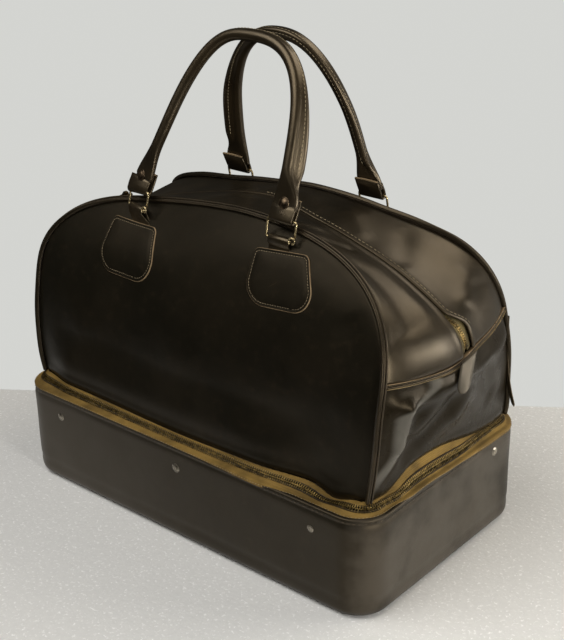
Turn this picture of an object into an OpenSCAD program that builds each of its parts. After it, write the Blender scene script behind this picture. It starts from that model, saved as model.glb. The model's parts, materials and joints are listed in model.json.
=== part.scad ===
// Two-tier travel bag: a stiff shoe compartment below, zipped all round to a
// soft arched upper body with a top zip and two rolled handles on wire rings.
// Millimetres, +Z up, front towards -Y, origin at the bottom centre of the base.

/* [Base compartment] */
// Length of the base
base_l = 420; // [390:5:450]
// Depth of the base, front to back
base_d = 240; // [225:5:260]
// Height of the base wall
base_h = 94; // [80:1:110]
// Plan radius of the base's corners
base_corner_r = 31; // [26:1:38]
// Radius of the base's rounded lower edge
base_edge_r = 9; // [6:1:12]
// Height of the folded binding on the rim
rim_h = 1.2; // [0.8:0.1:2]
// Distance of the front and back studs below the rim
stud_drop = 20; // [14:1:30]
// Distance of the side studs below the rim
side_stud_drop = 13; // [10:1:30]
// Distance of the end studs from the middle of the front
stud_x = 154; // [120:1:165]
// Distance of the side studs behind the middle
stud_y = 70; // [40:1:80]
// Radius of a stud's head
stud_head_r = 4.6; // [3:0.1:5]
// Height of a stud's head
stud_head_h = 1.5; // [1:0.1:2.5]

/* [Materials] */
// Thickness of the leather
leather_t = 2; // [1.5:0.1:2.4]
// Thickness of the stiff board
board_t = 2.5; // [2:0.1:3.2]
// Thickness of the cloth lining
lining_t = 0.8; // [0.5:0.1:1]
// Thickness of a zip tape
tape_t = 0.8; // [0.5:0.1:1]
// Clearance between pieces that lie together
gap = 0.3; // [0.25:0.05:0.4]

/* [Upper body] */
// Distance of the upper body's ends inside the base at its lower edge
body_in_l = 13; // [12:0.5:25]
// Distance of the upper body's front and back inside the base at its lower edge
body_in_d = 20; // [17:0.5:25]
// Plan radius of the upper body's lower corners
body_corner_r = 6; // [4:1:10]
// Rise from the rim binding to the upper body's lower edge
body_rise = 8.8; // [7:0.2:12]
// Height that the ends spread to their widest at
spring_z = 190; // [175:1:205]
// How far each end spreads beyond the lower edge
flare = 9; // [4:1:14]
// Height of the arched panels
arch_z = 301; // [285:1:315]
// Squareness of the arch: 2 is an ellipse
arch_n = 2.8; // [2.4:0.1:3.2]
// Height of the panels' fullest depth
belly_z = 150; // [140:1:165]
// How far the front and back bulge beyond their lower edges
belly = 2; // [0:0.5:3]
// Depth between the tops of the arches
arch_d = 96; // [86:1:110]
// Exponent of the panels' inward lean
lean_n = 2.25; // [2:0.05:2.5]
// Radius of the piping
pipe_r = 2; // [1.6:0.1:2.4]

/* [Roof and top zip] */
// Height of the ridge at its middle
ridge_z = 300; // [292:1:306]
// Radius of the ridge's long arc
ridge_r = 379.4; // [360:0.2:400]
// Distance of the ridge's end bend inside the widest part of the arch
bend_in = 6; // [4:1:10]
// How far the side seam stands out beyond the widest part of the arch
end_out = 16; // [10:1:20]
// Height of the side seam at its middle
seam_mid_z = 201; // [195:1:206]
// Height of the side seam at the piping
seam_edge_z = 208; // [204:1:214]
// Radius of the side seam's binding
seam_r = 1.6; // [1.2:0.1:2]
// Half width of the slot between the roof's leather edges
slot_hw = 1.6; // [1.4:0.1:2]
// Half width of that slot at the side seam, where the leather parts from the zip
slot_end_hw = 5; // [4:0.5:6]
// Half width of the top zip's tape
tape_hw = 14; // [12:1:16]
// Half of the arc that opens, in degrees
mouth_a = 17; // [15:0.5:18]
// Gap between the rows of teeth along the mouth
mouth_gap = 1.6; // [1.5:0.1:2]
// Angle of the top slider's parking place
park_a = 27; // [26:0.5:28]

/* [Zips] */
// Width of one row of teeth
row_w = 2.4; // [2:0.1:2.8]
// Gap between the two rows of teeth
row_gap = 0.4; // [0.3:0.05:0.5]
// Height of the teeth
row_h = 2.6; // [2.2:0.1:3]
// Rise of the upper body's lower edge at the middle of each end
end_rise = 16; // [10:1:18]
// Rise of the upper body's lower edge at the middle of the front
front_rise = 5; // [2:1:8]
// Length of a slider
slider_l = 12; // [10:0.5:14]
// Width of a slider
slider_w = 8.4; // [7.5:0.1:9]
// Thickness of a slider's plate
slider_t = 2; // [1.6:0.1:2.4]
// Height of the top slider's plate above the leather
slider_lift = 1.3; // [1.2:0.1:1.8]
// Length of a pull tab
pull_l = 24; // [18:1:28]
// Width of a pull tab
pull_w = 6.5; // [5:0.5:7]
// Thickness of a pull tab
pull_t = 1.2; // [1:0.1:1.5]
// Radius of a slider's hinge pin
pin_r = 0.8; // [0.6:0.1:1]
// Distance of the base slider's parking place from the corner of its zip
base_park_in = 31.5; // [28:0.5:40]

/* [Handles] */
// Distance of each handle's ends from the middle
handle_x = 80; // [74:1:90]
// Radius of the rolled handle
handle_r = 6; // [5:0.2:6.6]
// Radius of the cord inside a handle
core_r = 4; // [3:0.1:4.4]
// Length of the straight leg of a handle
leg_l = 26; // [24:1:34]
// Rise of a handle's bow above its legs
bow_h = 118; // [100:1:130]
// Width of the flat end of a handle
tab_w = 21; // [18:0.5:22]
// Distance of the handle's rivet above the ring
handle_rivet_z = 14; // [10:0.5:16]
// Radius of a handle rivet's head
handle_rivet_r = 5; // [4:0.1:5]
// Radius of the ring's wire
wire_r = 1; // [0.8:0.1:1.2]
// Width of a ring between its wires' centres
ring_w = 30; // [28:0.5:34]
// Height of a ring between its wires' centres
ring_h = 17; // [15:0.5:22]
// Inward lean of the rings
ring_lean = 11.5; // [8:0.5:14]
// Height of the ring's pivot
ring_z = 289; // [285:1:291]
// Half length of a chape loop
chape_hw = 12; // [9:0.5:12.5]

/* [Patches and tabs] */
// Distance of the patches from the middle
patch_x = 86; // [80:1:92]
// Height of a patch's upper edge
patch_top = 278; // [272:1:279]
// Height of a patch
patch_h = 47; // [42:1:52]
// Width of a patch at its upper edge
patch_top_w = 48; // [46:1:54]
// Greatest width of a patch
patch_w = 66; // [60:1:70]
// Radius of a patch's upper corners
patch_top_r = 6; // [3:0.5:6]
// Radius of a patch's lower corners
patch_low_r = 18; // [14:1:20]
// Width of an end tab
end_tab_w = 20; // [16:1:26]
// Length of an end tab
end_tab_l = 30; // [24:1:34]
// Length of the rear strap
strap_l = 60; // [40:1:60]
// Width of the rear strap
strap_w = 4; // [4:0.5:7]
// Height of the rear strap's top
strap_z = 192; // [180:1:196]
// Distance of the rear strap inside the widest part of the arch
strap_in = 6; // [5:0.5:10]

/* [Hidden] */

LEATHER = [0.17, 0.14, 0.11];
TAPE = [0.55, 0.42, 0.20];
BRASS = [0.45, 0.36, 0.20];
BOARD = [0.50, 0.43, 0.33];
CLOTH = [0.35, 0.30, 0.24];
STEEL = [0.60, 0.57, 0.50];

$fn = 48;
tiny = 0.01;
cut_spare = 5;

rim_z = base_h + rim_h;
wall_t = leather_t + gap + board_t;
floor_z = leather_t + board_t;
body_z = rim_z + body_rise;
body_hl = base_l / 2 - body_in_l;
body_hd = base_d / 2 - body_in_d;
belly_hd = body_hd + belly;
spread_hl = body_hl + flare;
strap_x = spread_hl - strap_in;
corner_steps = 8;
side_steps = 12;

// Base zip: w runs from the rim (0) to the upper body's edge (1), n is the height above the tape
zip_start_hl = base_l / 2 - wall_t - gap;
zip_start_hd = base_d / 2 - wall_t - gap;
zip_start_r = base_corner_r - wall_t - gap;
zip_span = norm([zip_start_hd - body_hd, body_rise]);
row_dw = row_w / zip_span;
row_gap_dw = row_gap / zip_span;
seat_dw = gap / zip_span;
row_low = -row_h / 4;
zip_out = 0.55;
zip_up = 0.83;

// Ridge: a long arc about a line along Y, then a bend down to the side seam
ridge_cz = ridge_z - ridge_r;
bend_x = spread_hl - bend_in;
ridge_end_x = spread_hl + end_out;
bend_a = asin(bend_x / ridge_r);
bend_u = 0.8;
flap_u = bend_u * mouth_a / bend_a;
flap_gap_u = bend_u * asin(2 * gap / ridge_r) / bend_a;
seam_gap_u = (1 - bend_u) * (seam_r + gap) / (arch_top(bend_x) - seam_edge_z);
slot_u = 0.7;
tape_top = -leather_t - gap;
tape_in = mouth_gap / 2 + row_w + gap;
mouth_row_h = row_h - 0.6;
neck_h = leather_t + slider_lift;
neck_w = 2 * (slot_hw - gap);

// Straight side of the base zip that the base slider runs along, as an arc
slide_half = (zip_start_hd + body_hd) / 2 - (zip_start_r + body_corner_r) / 2;
slide_rise = end_rise / 2;
slide_r = pow(slide_half, 2) / (2 * slide_rise) + slide_rise / 2;
slide_z = (rim_z + body_z) / 2 + slide_rise;
slide_x = (zip_start_hl + body_hl) / 2;
slide_tilt = atan((body_rise + end_rise) / (zip_start_hl - body_hl));
slider_clear = 0.9;
slide_n = (row_low + row_h) * (zip_out * sin(slide_tilt) + zip_up * cos(slide_tilt)) + slider_clear;
slide_a = asin((slide_half - base_park_in) / slide_r);
pin_clear = 0.25;
eye_r = pin_r + pin_clear + 1;
eye_w = 3;
pin_up = slider_t + eye_r + gap;
pull_droop = 6;

// Handles stand on the rings and lean in until their bows nearly touch
loop_r = wire_r + gap + leather_t;
ring_y = depth(ring_z) + (loop_r + 2 * gap) / cos(lean_at(ring_z));
handle_y = ring_y - ring_h * sin(ring_lean);
handle_z = ring_z + ring_h * cos(ring_lean);
handle_lean = asin((handle_y - handle_r - 2 * gap) / (leg_l + bow_h));
tab_t = 2 * leather_t;
core_leg = 1;
rivet_shank_r = 1.5;
rivet_hole_r = 1.6;
rivet_cap_h = 0.8;

function lerp(a, b, t) = a + (b - a) * t;
function unit(v) = v / norm(v);

// Half length of the arch at a height, and its height at a distance from the middle
function arch_x(z) = z < spring_z
    ? body_hl + flare * (1 - pow((spring_z - z) / (spring_z - body_z), 2))
    : spread_hl * pow(max(0, 1 - pow((z - spring_z) / (arch_z - spring_z), arch_n)), 1 / arch_n);
function arch_top(x) =
    spring_z + (arch_z - spring_z) * pow(max(0, 1 - pow(abs(x) / spread_hl, arch_n)), 1 / arch_n);

// Half depth of the panels at a height, and their inward lean there in degrees
function depth(z) = z < belly_z
    ? belly_hd - belly * pow((belly_z - z) / (belly_z - body_z), 2)
    : belly_hd - (belly_hd - arch_d / 2) * pow((z - belly_z) / (arch_z - belly_z), lean_n);
function lean_at(z) = atan(depth(z - 0.5) - depth(z + 0.5));

// Rise of the upper body's lower edge along the front and along an end
function front_lift(x, half) = front_rise * max(0, 1 - pow(x / half, 2));
function end_lift(y, half) = end_rise * max(0, 1 - pow(y / half, 2));

// One quarter turn of a corner, without its two end points
function corner(cx, cy, r, a0, z) = [
    for (i = [1 : corner_steps - 1])
        let (a = a0 - 90 * i / corner_steps)
        [cx + r * cos(a), cy + r * sin(a), z]
];

// Closed loop round the base zip at place w and height n: right end, front, left end, back
function zip_loop(w, n) =
    let (
        out = zip_out * n,
        hx = lerp(zip_start_hl, body_hl, w) + out,
        hy = lerp(zip_start_hd, body_hd, w) + out,
        r = lerp(zip_start_r, body_corner_r, w) + out,
        z = lerp(rim_z, body_z, w) + zip_up * n,
        sx = hx - r,
        sy = hy - r,
        side = [for (i = [0 : side_steps]) 1 - 2 * i / side_steps]
    )
    concat(
        [for (k = side) [hx, k * sy, z + w * end_lift(k * sy, sy)]],
        corner(sx, -sy, r, 0, z),
        [for (k = side) [k * sx, -hy, z + w * front_lift(k * sx, sx)]],
        corner(-sx, -sy, r, -90, z),
        [for (k = side) [-hx, -k * sy, z + w * end_lift(k * sy, sy)]],
        corner(-sx, sy, r, -180, z),
        [for (k = side) [-k * sx, hy, z]],
        corner(sx, sy, r, -270, z)
    );
zip_count = 3 * (side_steps + 1) + 2 * (corner_steps - 1);
loop_count = 4 * (side_steps + 1) + 4 * (corner_steps - 1);

// Arch and ridge at a place u, from the middle (0) over the bend to the side seam (1)
function arch_at(u) = u < bend_u
    ? [ridge_at(u)[0], arch_top(ridge_at(u)[0])]
    : let (z = lerp(arch_top(bend_x), seam_edge_z, (u - bend_u) / (1 - bend_u))) [arch_x(z), z];
function ridge_at(u) = u < bend_u
    ? [ridge_r * sin(bend_a * u / bend_u), ridge_cz + ridge_r * cos(bend_a * u / bend_u)]
    : let (
        t = (u - bend_u) / (1 - bend_u),
        z0 = ridge_cz + ridge_r * cos(bend_a),
        z1 = z0 - (ridge_end_x - bend_x) * tan(bend_a)
    )
    [
        bend_x * pow(1 - t, 2) + ridge_end_x * (2 * t * (1 - t) + t * t),
        z0 * pow(1 - t, 2) + 2 * t * (1 - t) * z1 + seam_mid_z * t * t
    ];

// Point of the roof at u and y, lifted by off along the roof's outward direction
function roof_at(u, y, off) =
    let (
        a = arch_at(abs(u)),
        r = ridge_at(abs(u)),
        t = y / depth(a[1]),
        d = ridge_at(min(1, abs(u) + tiny)) - ridge_at(max(0, abs(u) - tiny)),
        p = a + (r - a) * (1 - t * t) + unit([-d[1], d[0]]) * off
    )
    [u < 0 ? -p[0] : p[0], y, p[1]];

// Point of the right end below the side seam, at height share v and depth share t
function gusset_at(v, t, off) =
    let (
        seam = roof_at(1, t * (depth(seam_edge_z) - pipe_r - gap), 0)[2] - seam_r - gap,
        low = body_z + gap + end_lift(t * body_hd, body_hd - body_corner_r),
        z = lerp(low, seam, v),
        y = t * (depth(z) - pipe_r - gap)
    )
    [arch_x(z) + (ridge_end_x - arch_x(seam_edge_z)) * sin(90 * v) * (1 - t * t) + off, y, z];

// Solid through a list of closed sections, whose loops turn right-handed about the way they run
module loft(rows, ring = false) {
    n = len(rows);
    m = len(rows[0]);
    sides = [
        for (i = [0 : n - (ring ? 1 : 2)], j = [0 : m - 1])
            let (a = i * m + j, b = i * m + (j + 1) % m, k = (i + 1) % n * m)
            each [[a, k + (j + 1) % m, b], [a, k + j, k + (j + 1) % m]]
    ];
    first = [for (j = [0 : m / 2 - 2]) each [[j, j + 1, m - 2 - j], [j, m - 2 - j, m - 1 - j]]];
    last = [for (f = first) [for (k = [2 : -1 : 0]) f[k] + (n - 1) * m]];
    polyhedron([for (r = rows) each r], ring ? sides : concat(sides, first, last));
}

// Round cord along a path, with sides counted from the direction up
module cord(path, r, up = [0, 1, 0], sides = 10) {
    n = len(path);
    loft([
        for (i = [0 : n - 1])
            let (
                t = unit(path[min(n - 1, i + 1)] - path[max(0, i - 1)]),
                e1 = unit(up - (up * t) * t),
                e2 = cross(t, e1)
            )
            [for (j = [0 : sides - 1]) path[i] + r * (cos(360 * j / sides) * e1 + sin(360 * j / sides) * e2)]
    ]);
}

// Strip of the base zip whose section is a list of [w, n], between two places of the loop
module zip_strip(section, from, to) {
    loops = [for (s = section) zip_loop(s[0], s[1])];
    loft([for (i = [from : to]) [for (l = loops) l[i % loop_count]]]);
}

// Sheet of the roof between two places u, two depths and two heights. Without the depths it is the
// leather in front of the slot.
module roof_sheet(u0, u1, low, high, steps, across = 6, y0 = undef, y1 = undef) {
    function y_at(k, u) = lerp(is_undef(y0) ? -roof_edge(u) : y0, is_undef(y1) ? -slot_at(u) : y1, k);
    loft([
        for (i = [0 : steps])
            let (u = lerp(u0, u1, i / steps))
            concat(
                [for (k = [0 : across]) roof_at(u, y_at(k / across, u), low)],
                [for (k = [across : -1 : 0]) roof_at(u, y_at(k / across, u), high)]
            )
    ]);
}
function roof_edge(u) = depth(arch_at(abs(u))[1]) - pipe_r - gap;
function slot_at(u) =
    slot_hw + (slot_end_hw - slot_hw) * pow(max(0, (abs(u) - slot_u) / (1 - slot_u)), 2);

// Cut across the bag's depth: the panels' curve as a band of the given outward offsets
module panel_band(low, high) {
    steps = 20;
    rotate([90, 0, 90])
        linear_extrude(base_l, center = true)
            polygon(concat(
                [for (i = [0 : steps]) let (z = lerp(body_z - cut_spare, arch_z, i / steps)) [-depth(z) - high, z]],
                [for (i = [steps : -1 : 0]) let (z = lerp(body_z - cut_spare, arch_z, i / steps)) [-depth(z) - low, z]]
            ));
}

// Piece of the front that follows the panel's curve within an outline in the XZ plane
module front_piece(low, high) {
    intersection() {
        panel_band(low, high);
        rotate([90, 0, 0])
            linear_extrude(base_d)
                children();
    }
}

module rounded_plan(l, d, r) {
    for (s = [0, 1])
        square([l - 2 * r * s, d - 2 * r * (1 - s)], center = true);
    for (x = [-1, 1], y = [-1, 1])
        translate([x * (l / 2 - r), y * (d / 2 - r)])
            circle(r);
}

module plan_ring(inset, t, h) {
    linear_extrude(h)
        difference() {
            rounded_plan(base_l - 2 * inset, base_d - 2 * inset, base_corner_r - inset);
            rounded_plan(base_l - 2 * (inset + t), base_d - 2 * (inset + t), base_corner_r - inset - t);
        }
}

// Places of the studs, each turned so that +X points out of the wall
module stud_places() {
    for (y = [-1, 1], x = [-1, 0, 1])
        translate([x * stud_x, y * base_d / 2, base_h - stud_drop])
            rotate([0, 0, y * 90])
                children();
    for (x = [-1, 1])
        translate([x * base_l / 2, stud_y, base_h - side_stud_drop])
            rotate([0, 0, x > 0 ? 0 : 180])
                children();
}

module stud_holes() {
    stud_places()
        rotate([0, -90, 0])
            translate([0, 0, -1])
                cylinder(r = rivet_hole_r, h = wall_t + lining_t + 3);
}

module dome(r, h) {
    ball_r = (r * r + h * h) / (2 * h);
    intersection() {
        translate([0, 0, h - ball_r])
            sphere(ball_r);
        cylinder(r = r + 1, h = h + 1);
    }
}

// Rivet along Z through a thickness that lies below Z = 0
module rivet(head_r, head_h, grip) {
    translate([0, 0, gap / 2])
        dome(head_r, head_h);
    translate([0, 0, -grip - gap])
        cylinder(r = rivet_shank_r, h = grip + 2 * gap);
    translate([0, 0, -grip - gap / 2 - rivet_cap_h])
        cylinder(r = head_r * 0.8, h = rivet_cap_h);
}

module base_wall() {
    color(LEATHER)
        difference() {
            union() {
                translate([0, 0, base_edge_r])
                    plan_ring(0, leather_t, base_h - base_edge_r);
                for (x = [-1, 1], y = [-1, 1])
                    translate([x * (base_l / 2 - base_corner_r), y * (base_d / 2 - base_corner_r), 0])
                        rotate([0, 0, x > 0 ? (y > 0 ? 0 : -90) : (y > 0 ? 90 : 180)])
                            rotate_extrude(angle = 90)
                                edge_profile();
                for (s = [0, 1], k = [0, 180])
                    rotate([0, 0, k + 90 * s])
                        edge_run(s == 0 ? base_l : base_d, s == 0 ? base_d : base_l);
            }
            stud_holes();
        }
}

// Rolled lower edge of the wall: X is measured out from a corner's centre
module edge_profile() {
    translate([base_corner_r - base_edge_r, base_edge_r])
        difference() {
            intersection() {
                circle(base_edge_r);
                translate([0, -base_edge_r])
                    square(base_edge_r);
            }
            circle(base_edge_r - leather_t);
        }
}

module edge_run(run_l, across) {
    translate([-run_l / 2 + base_corner_r, -across / 2 + base_corner_r, 0])
        rotate([90, 0, 90])
            linear_extrude(run_l - 2 * base_corner_r)
                mirror([1, 0])
                    edge_profile();
}

module base_bottom() {
    inset = base_edge_r + gap;
    color(LEATHER)
        linear_extrude(leather_t)
            rounded_plan(base_l - 2 * inset, base_d - 2 * inset, base_corner_r - inset);
}

module base_floor_board() {
    inset = base_edge_r + gap;
    color(BOARD)
        translate([0, 0, leather_t])
            linear_extrude(board_t)
                rounded_plan(base_l - 2 * inset, base_d - 2 * inset, base_corner_r - inset);
}

module base_wall_board() {
    color(BOARD)
        difference() {
            translate([0, 0, base_edge_r])
                plan_ring(leather_t + gap, board_t, base_h - base_edge_r);
            stud_holes();
        }
}

module base_lining() {
    inset = wall_t + gap;
    top = base_h - 6;
    color(CLOTH)
        difference() {
            translate([0, 0, floor_z])
                linear_extrude(top - floor_z)
                    rounded_plan(base_l - 2 * inset, base_d - 2 * inset, base_corner_r - inset);
            translate([0, 0, floor_z + lining_t])
                linear_extrude(top)
                    rounded_plan(
                        base_l - 2 * inset - 2 * lining_t,
                        base_d - 2 * inset - 2 * lining_t,
                        base_corner_r - inset - lining_t
                    );
            stud_holes();
        }
}

module base_rim_binding() {
    color(LEATHER)
        translate([0, 0, base_h])
            plan_ring(0, wall_t, rim_h);
}

// Zip tape between two places across the base zip
module zip_tape(w0, w1) {
    zip_strip([[w0, 0], [w0, tape_t], [w1, tape_t], [w1, 0]], 0, zip_count - 1);
}

// Row of teeth of the base zip that starts at place w
module zip_row(w) {
    high = row_low + row_h;
    zip_strip([[w, row_low], [w, high], [w + row_dw, high], [w + row_dw, row_low]], 0, zip_count - 1);
}

module base_tape_lower() {
    color(TAPE)
        zip_tape(0, 0.5 - row_gap_dw / 2 - row_dw - seat_dw);
}

module base_teeth_lower() {
    color(BRASS)
        zip_row(0.5 - row_gap_dw / 2 - row_dw);
}

module base_tape_upper() {
    color(TAPE)
        zip_tape(0.5 + row_gap_dw / 2 + row_dw + seat_dw, 1 - 2 * seat_dw);
}

module base_teeth_upper() {
    color(BRASS)
        zip_row(0.5 + row_gap_dw / 2);
}

module base_studs() {
    color(STEEL)
        stud_places()
            rotate([0, 90, 0])
                rivet(stud_head_r, stud_head_h, wall_t + gap + lining_t);
}

// Leather that joins the base and the upper body along the back
module rear_hinge_strip() {
    w1 = 1 - 3 * seat_dw;
    color(LEATHER)
        zip_strip([[0, 0], [0, tape_t], [w1, tape_t], [w1, 0]], zip_count, loop_count - 1);
}

// Slider with its plate's underside on Z = 0, its travel along X and a neck below it
module zip_slider(neck) {
    cheek_l = 3;
    cheek_w = 1.1;
    linear_extrude(slider_t)
        intersection() {
            square([slider_l, slider_w], center = true);
            circle(norm([slider_l, slider_w]) / 2 - 1);
        }
    if (neck > 0)
        translate([0, 0, (tiny - neck) / 2])
            cube([slider_l / 2, neck_w, neck + tiny], center = true);
    for (y = [-1, 1])
        translate([-cheek_l / 2, y * (eye_w / 2 + gap + cheek_w / 2) - cheek_w / 2, slider_t - tiny])
            cube([cheek_l, cheek_w, pin_up - slider_t + pin_r]);
    translate([0, 0, pin_up])
        rotate([90, 0, 0])
            cylinder(r = pin_r, h = eye_w + 2 * gap + cheek_w, center = true);
}

// Pull tab on the slider's pin, lying back along -X
module zip_pull() {
    neck_l = 4;
    translate([0, 0, pin_up])
        rotate([0, -pull_droop, 0])
            difference() {
                union() {
                    rotate([90, 0, 0])
                        cylinder(r = eye_r, h = eye_w, center = true);
                    translate([-neck_l - 1, -eye_w / 2, -pull_t / 2])
                        cube([neck_l + 1, eye_w, pull_t]);
                    translate([-pull_l + pull_w / 2, -pull_w / 2, -pull_t / 2])
                        cube([pull_l - pull_w / 2 - neck_l, pull_w, pull_t]);
                    translate([-pull_l + pull_w / 2, 0, -pull_t / 2])
                        cylinder(r = pull_w / 2, h = pull_t);
                }
                rotate([90, 0, 0])
                    cylinder(r = pin_r + pin_clear, h = eye_w + 2, center = true);
                translate([-pull_l + pull_w / 2, 0, -pull_t])
                    cylinder(r = pull_w / 4, h = 2 * pull_t);
            }
}

// Parking place of the base slider on the left end, with +X along its travel
module base_slider_place() {
    translate([0, 0, slide_z - slide_r])
        rotate([-slide_a, 0, 0])
            translate([-slide_x, 0, slide_r])
                rotate([0, -slide_tilt, 0])
                    rotate([0, 0, -90])
                        translate([0, 0, slide_n])
                            children();
}

module base_slider() {
    color(BRASS)
        base_slider_place()
            zip_slider(0);
}

module base_pull() {
    color(BRASS)
        base_slider_place()
            zip_pull();
}

// Parking place of the top slider at the ridge's left end, with +X along its travel
module top_slider_place() {
    translate([0, 0, ridge_cz])
        rotate([0, -park_a, 0])
            translate([0, 0, ridge_r + slider_lift])
                children();
}

module top_slider() {
    color(BRASS)
        top_slider_place()
            zip_slider(neck_h);
}

module top_pull() {
    color(BRASS)
        top_slider_place()
            zip_pull();
}

// Right half of the arch from its lower end to the middle, as [x, z]
function half_arch(low) = concat(
    [for (i = [0 : 7]) let (z = lerp(low, seam_edge_z, i / 8)) [arch_x(z), z]],
    [for (i = [24 : -1 : 1]) arch_at(i / 24)]
);
function whole_arch(low) =
    let (h = half_arch(low), n = len(h))
    concat([for (p = h) [-p[0], p[1]]], [arch_at(0)], [for (i = [n - 1 : -1 : 0]) h[i]]);

// Path moved towards its right-hand side
function moved_in(path, d) =
    let (n = len(path))
    [for (i = [0 : n - 1])
        let (t = unit(path[min(n - 1, i + 1)] - path[max(0, i - 1)]))
        path[i] + d * [t[1], -t[0]]];

module panel_outline() {
    low = body_z + gap;
    half = body_hl - body_corner_r;
    polygon(concat(
        moved_in(whole_arch(low), pipe_r + gap),
        [for (i = [11 : -1 : -11]) let (x = half * i / 12) [x, low + front_lift(x, half)]]
    ));
}

module panel() {
    color(LEATHER)
        front_piece(-leather_t, 0)
            panel_outline();
}

module front_panel() {
    panel();
}

module back_panel() {
    mirror([0, 1, 0])
        panel();
}

module piping() {
    path = whole_arch(body_z + 2 * gap);
    color(LEATHER)
        cord([for (p = path) [p[0], -depth(p[1]), p[1]]], pipe_r, sides = 8);
}

module front_piping() {
    piping();
}

module back_piping() {
    mirror([0, 1, 0])
        piping();
}

module gusset() {
    steps = 12;
    across = 16;
    color(LEATHER)
        loft([
            for (i = [0 : steps])
                concat(
                    [for (k = [0 : across]) gusset_at(i / steps, 2 * k / across - 1, 0)],
                    [for (k = [across : -1 : 0]) gusset_at(i / steps, 2 * k / across - 1, -leather_t)]
                )
        ]);
}

module right_gusset() {
    gusset();
}

module left_gusset() {
    mirror([1, 0, 0])
        gusset();
}

// Leather of the roof between the mouth and the side seam, on the front right
module roof_end() {
    color(LEATHER)
        roof_sheet(flap_u + flap_gap_u, 1 - seam_gap_u, -leather_t, 0, 16, 8);
}

module roof_front_right() {
    roof_end();
}

module roof_front_left() {
    mirror([1, 0, 0])
        roof_end();
}

module roof_back_right() {
    mirror([0, 1, 0])
        roof_end();
}

module roof_back_left() {
    mirror([0, 1, 0])
        mirror([1, 0, 0])
            roof_end();
}

module seam_binding() {
    edge = depth(seam_edge_z) - pipe_r - gap;
    color(TAPE)
        cord([for (i = [-10 : 10]) roof_at(1, edge * i / 10, 0)], seam_r, up = [0, 0, 1], sides = 8);
}

module right_seam_binding() {
    seam_binding();
}

module left_seam_binding() {
    mirror([1, 0, 0])
        seam_binding();
}

// Floor of the upper body, a skin under a stiff board
module divider_panel() {
    inset = leather_t + gap;
    color(LEATHER)
        translate([0, 0, body_z + gap])
            linear_extrude(leather_t)
                rounded_plan(2 * (body_hl - inset), 2 * (body_hd - inset), body_corner_r - gap);
}

module divider_board() {
    inset = leather_t + 2 * gap;
    color(BOARD)
        translate([0, 0, body_z + gap + leather_t])
            linear_extrude(board_t)
                rounded_plan(2 * (body_hl - inset), 2 * (body_hd - inset), body_corner_r - gap);
}

module patch_outline() {
    hull()
        for (x = [-1, 1]) {
            translate([x * (patch_top_w / 2 - patch_top_r), patch_top - patch_top_r])
                circle(patch_top_r, $fn = 32);
            translate([x * (patch_w / 2 - patch_low_r), patch_top - patch_h + patch_low_r])
                circle(patch_low_r, $fn = 32);
        }
}

// Stitched patch on the front, to the right of the middle
module patch() {
    color(LEATHER)
        front_piece(gap, gap + leather_t)
            translate([patch_x, 0])
                patch_outline();
}

module front_right_patch() {
    patch();
}

module front_left_patch() {
    mirror([1, 0, 0])
        patch();
}

module back_right_patch() {
    mirror([0, 1, 0])
        patch();
}

module back_left_patch() {
    mirror([0, 1, 0])
        mirror([1, 0, 0])
            patch();
}

// Leather loop that carries a ring above its patch
module chape() {
    color(LEATHER)
        difference() {
            union() {
                front_piece(gap, gap + leather_t)
                    translate([handle_x - chape_hw, patch_top + gap])
                        square([2 * chape_hw, ring_z - patch_top]);
                translate([handle_x, -ring_y, ring_z])
                    rotate([0, 90, 0])
                        cylinder(r = loop_r, h = 2 * chape_hw, center = true);
            }
            translate([handle_x, -ring_y, ring_z])
                rotate([0, 90, 0])
                    cylinder(r = wire_r + gap, h = 3 * chape_hw, center = true);
        }
}

module front_right_chape() {
    chape();
}

module front_left_chape() {
    mirror([1, 0, 0])
        chape();
}

module back_right_chape() {
    mirror([0, 1, 0])
        chape();
}

module back_left_chape() {
    mirror([0, 1, 0])
        mirror([1, 0, 0])
            chape();
}

// Tape and teeth of the top zip along the ridge's arc, between two angles
module arc_strip(a0, a1, y0, y1, low, high) {
    translate([0, 0, ridge_cz])
        rotate([90, 0, 0])
            rotate([0, 0, 90 - a1])
                rotate_extrude(angle = a1 - a0, $fn = 360)
                    translate([ridge_r + low, -y1])
                        square([high - low, y1 - y0]);
}

module front_flap() {
    color(LEATHER)
        roof_sheet(-flap_u, flap_u, -leather_t, 0, 20);
}

module top_tape_front() {
    color(TAPE)
        arc_strip(-mouth_a, mouth_a, -tape_hw, -tape_in, tape_top - tape_t, tape_top);
}

module top_teeth_front() {
    color(BRASS)
        arc_strip(-mouth_a, mouth_a, gap - tape_in, -mouth_gap / 2, tape_top - mouth_row_h, tape_top);
}

module back_flap() {
    mirror([0, 1, 0])
        front_flap();
}

module top_tape_back() {
    mirror([0, 1, 0])
        top_tape_front();
}

module top_teeth_back() {
    mirror([0, 1, 0])
        top_teeth_front();
}

module top_tape_ends() {
    color(TAPE)
        for (x = [0, 1], y = [0, 1])
            mirror([x, 0, 0])
                mirror([0, y, 0])
                    roof_sheet(
                        flap_u + flap_gap_u, 1 - seam_gap_u, tape_top - tape_t, tape_top, 20, 2,
                        -tape_hw, -tape_in
                    );
}

module top_teeth_ends() {
    color(BRASS)
        for (x = [0, 1])
            mirror([x, 0, 0])
                roof_sheet(
                    flap_u + flap_gap_u, 1 - seam_gap_u, tape_top - mouth_row_h, tape_top, 20, 1,
                    gap - tape_in, tape_in - gap
                );
}

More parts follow.
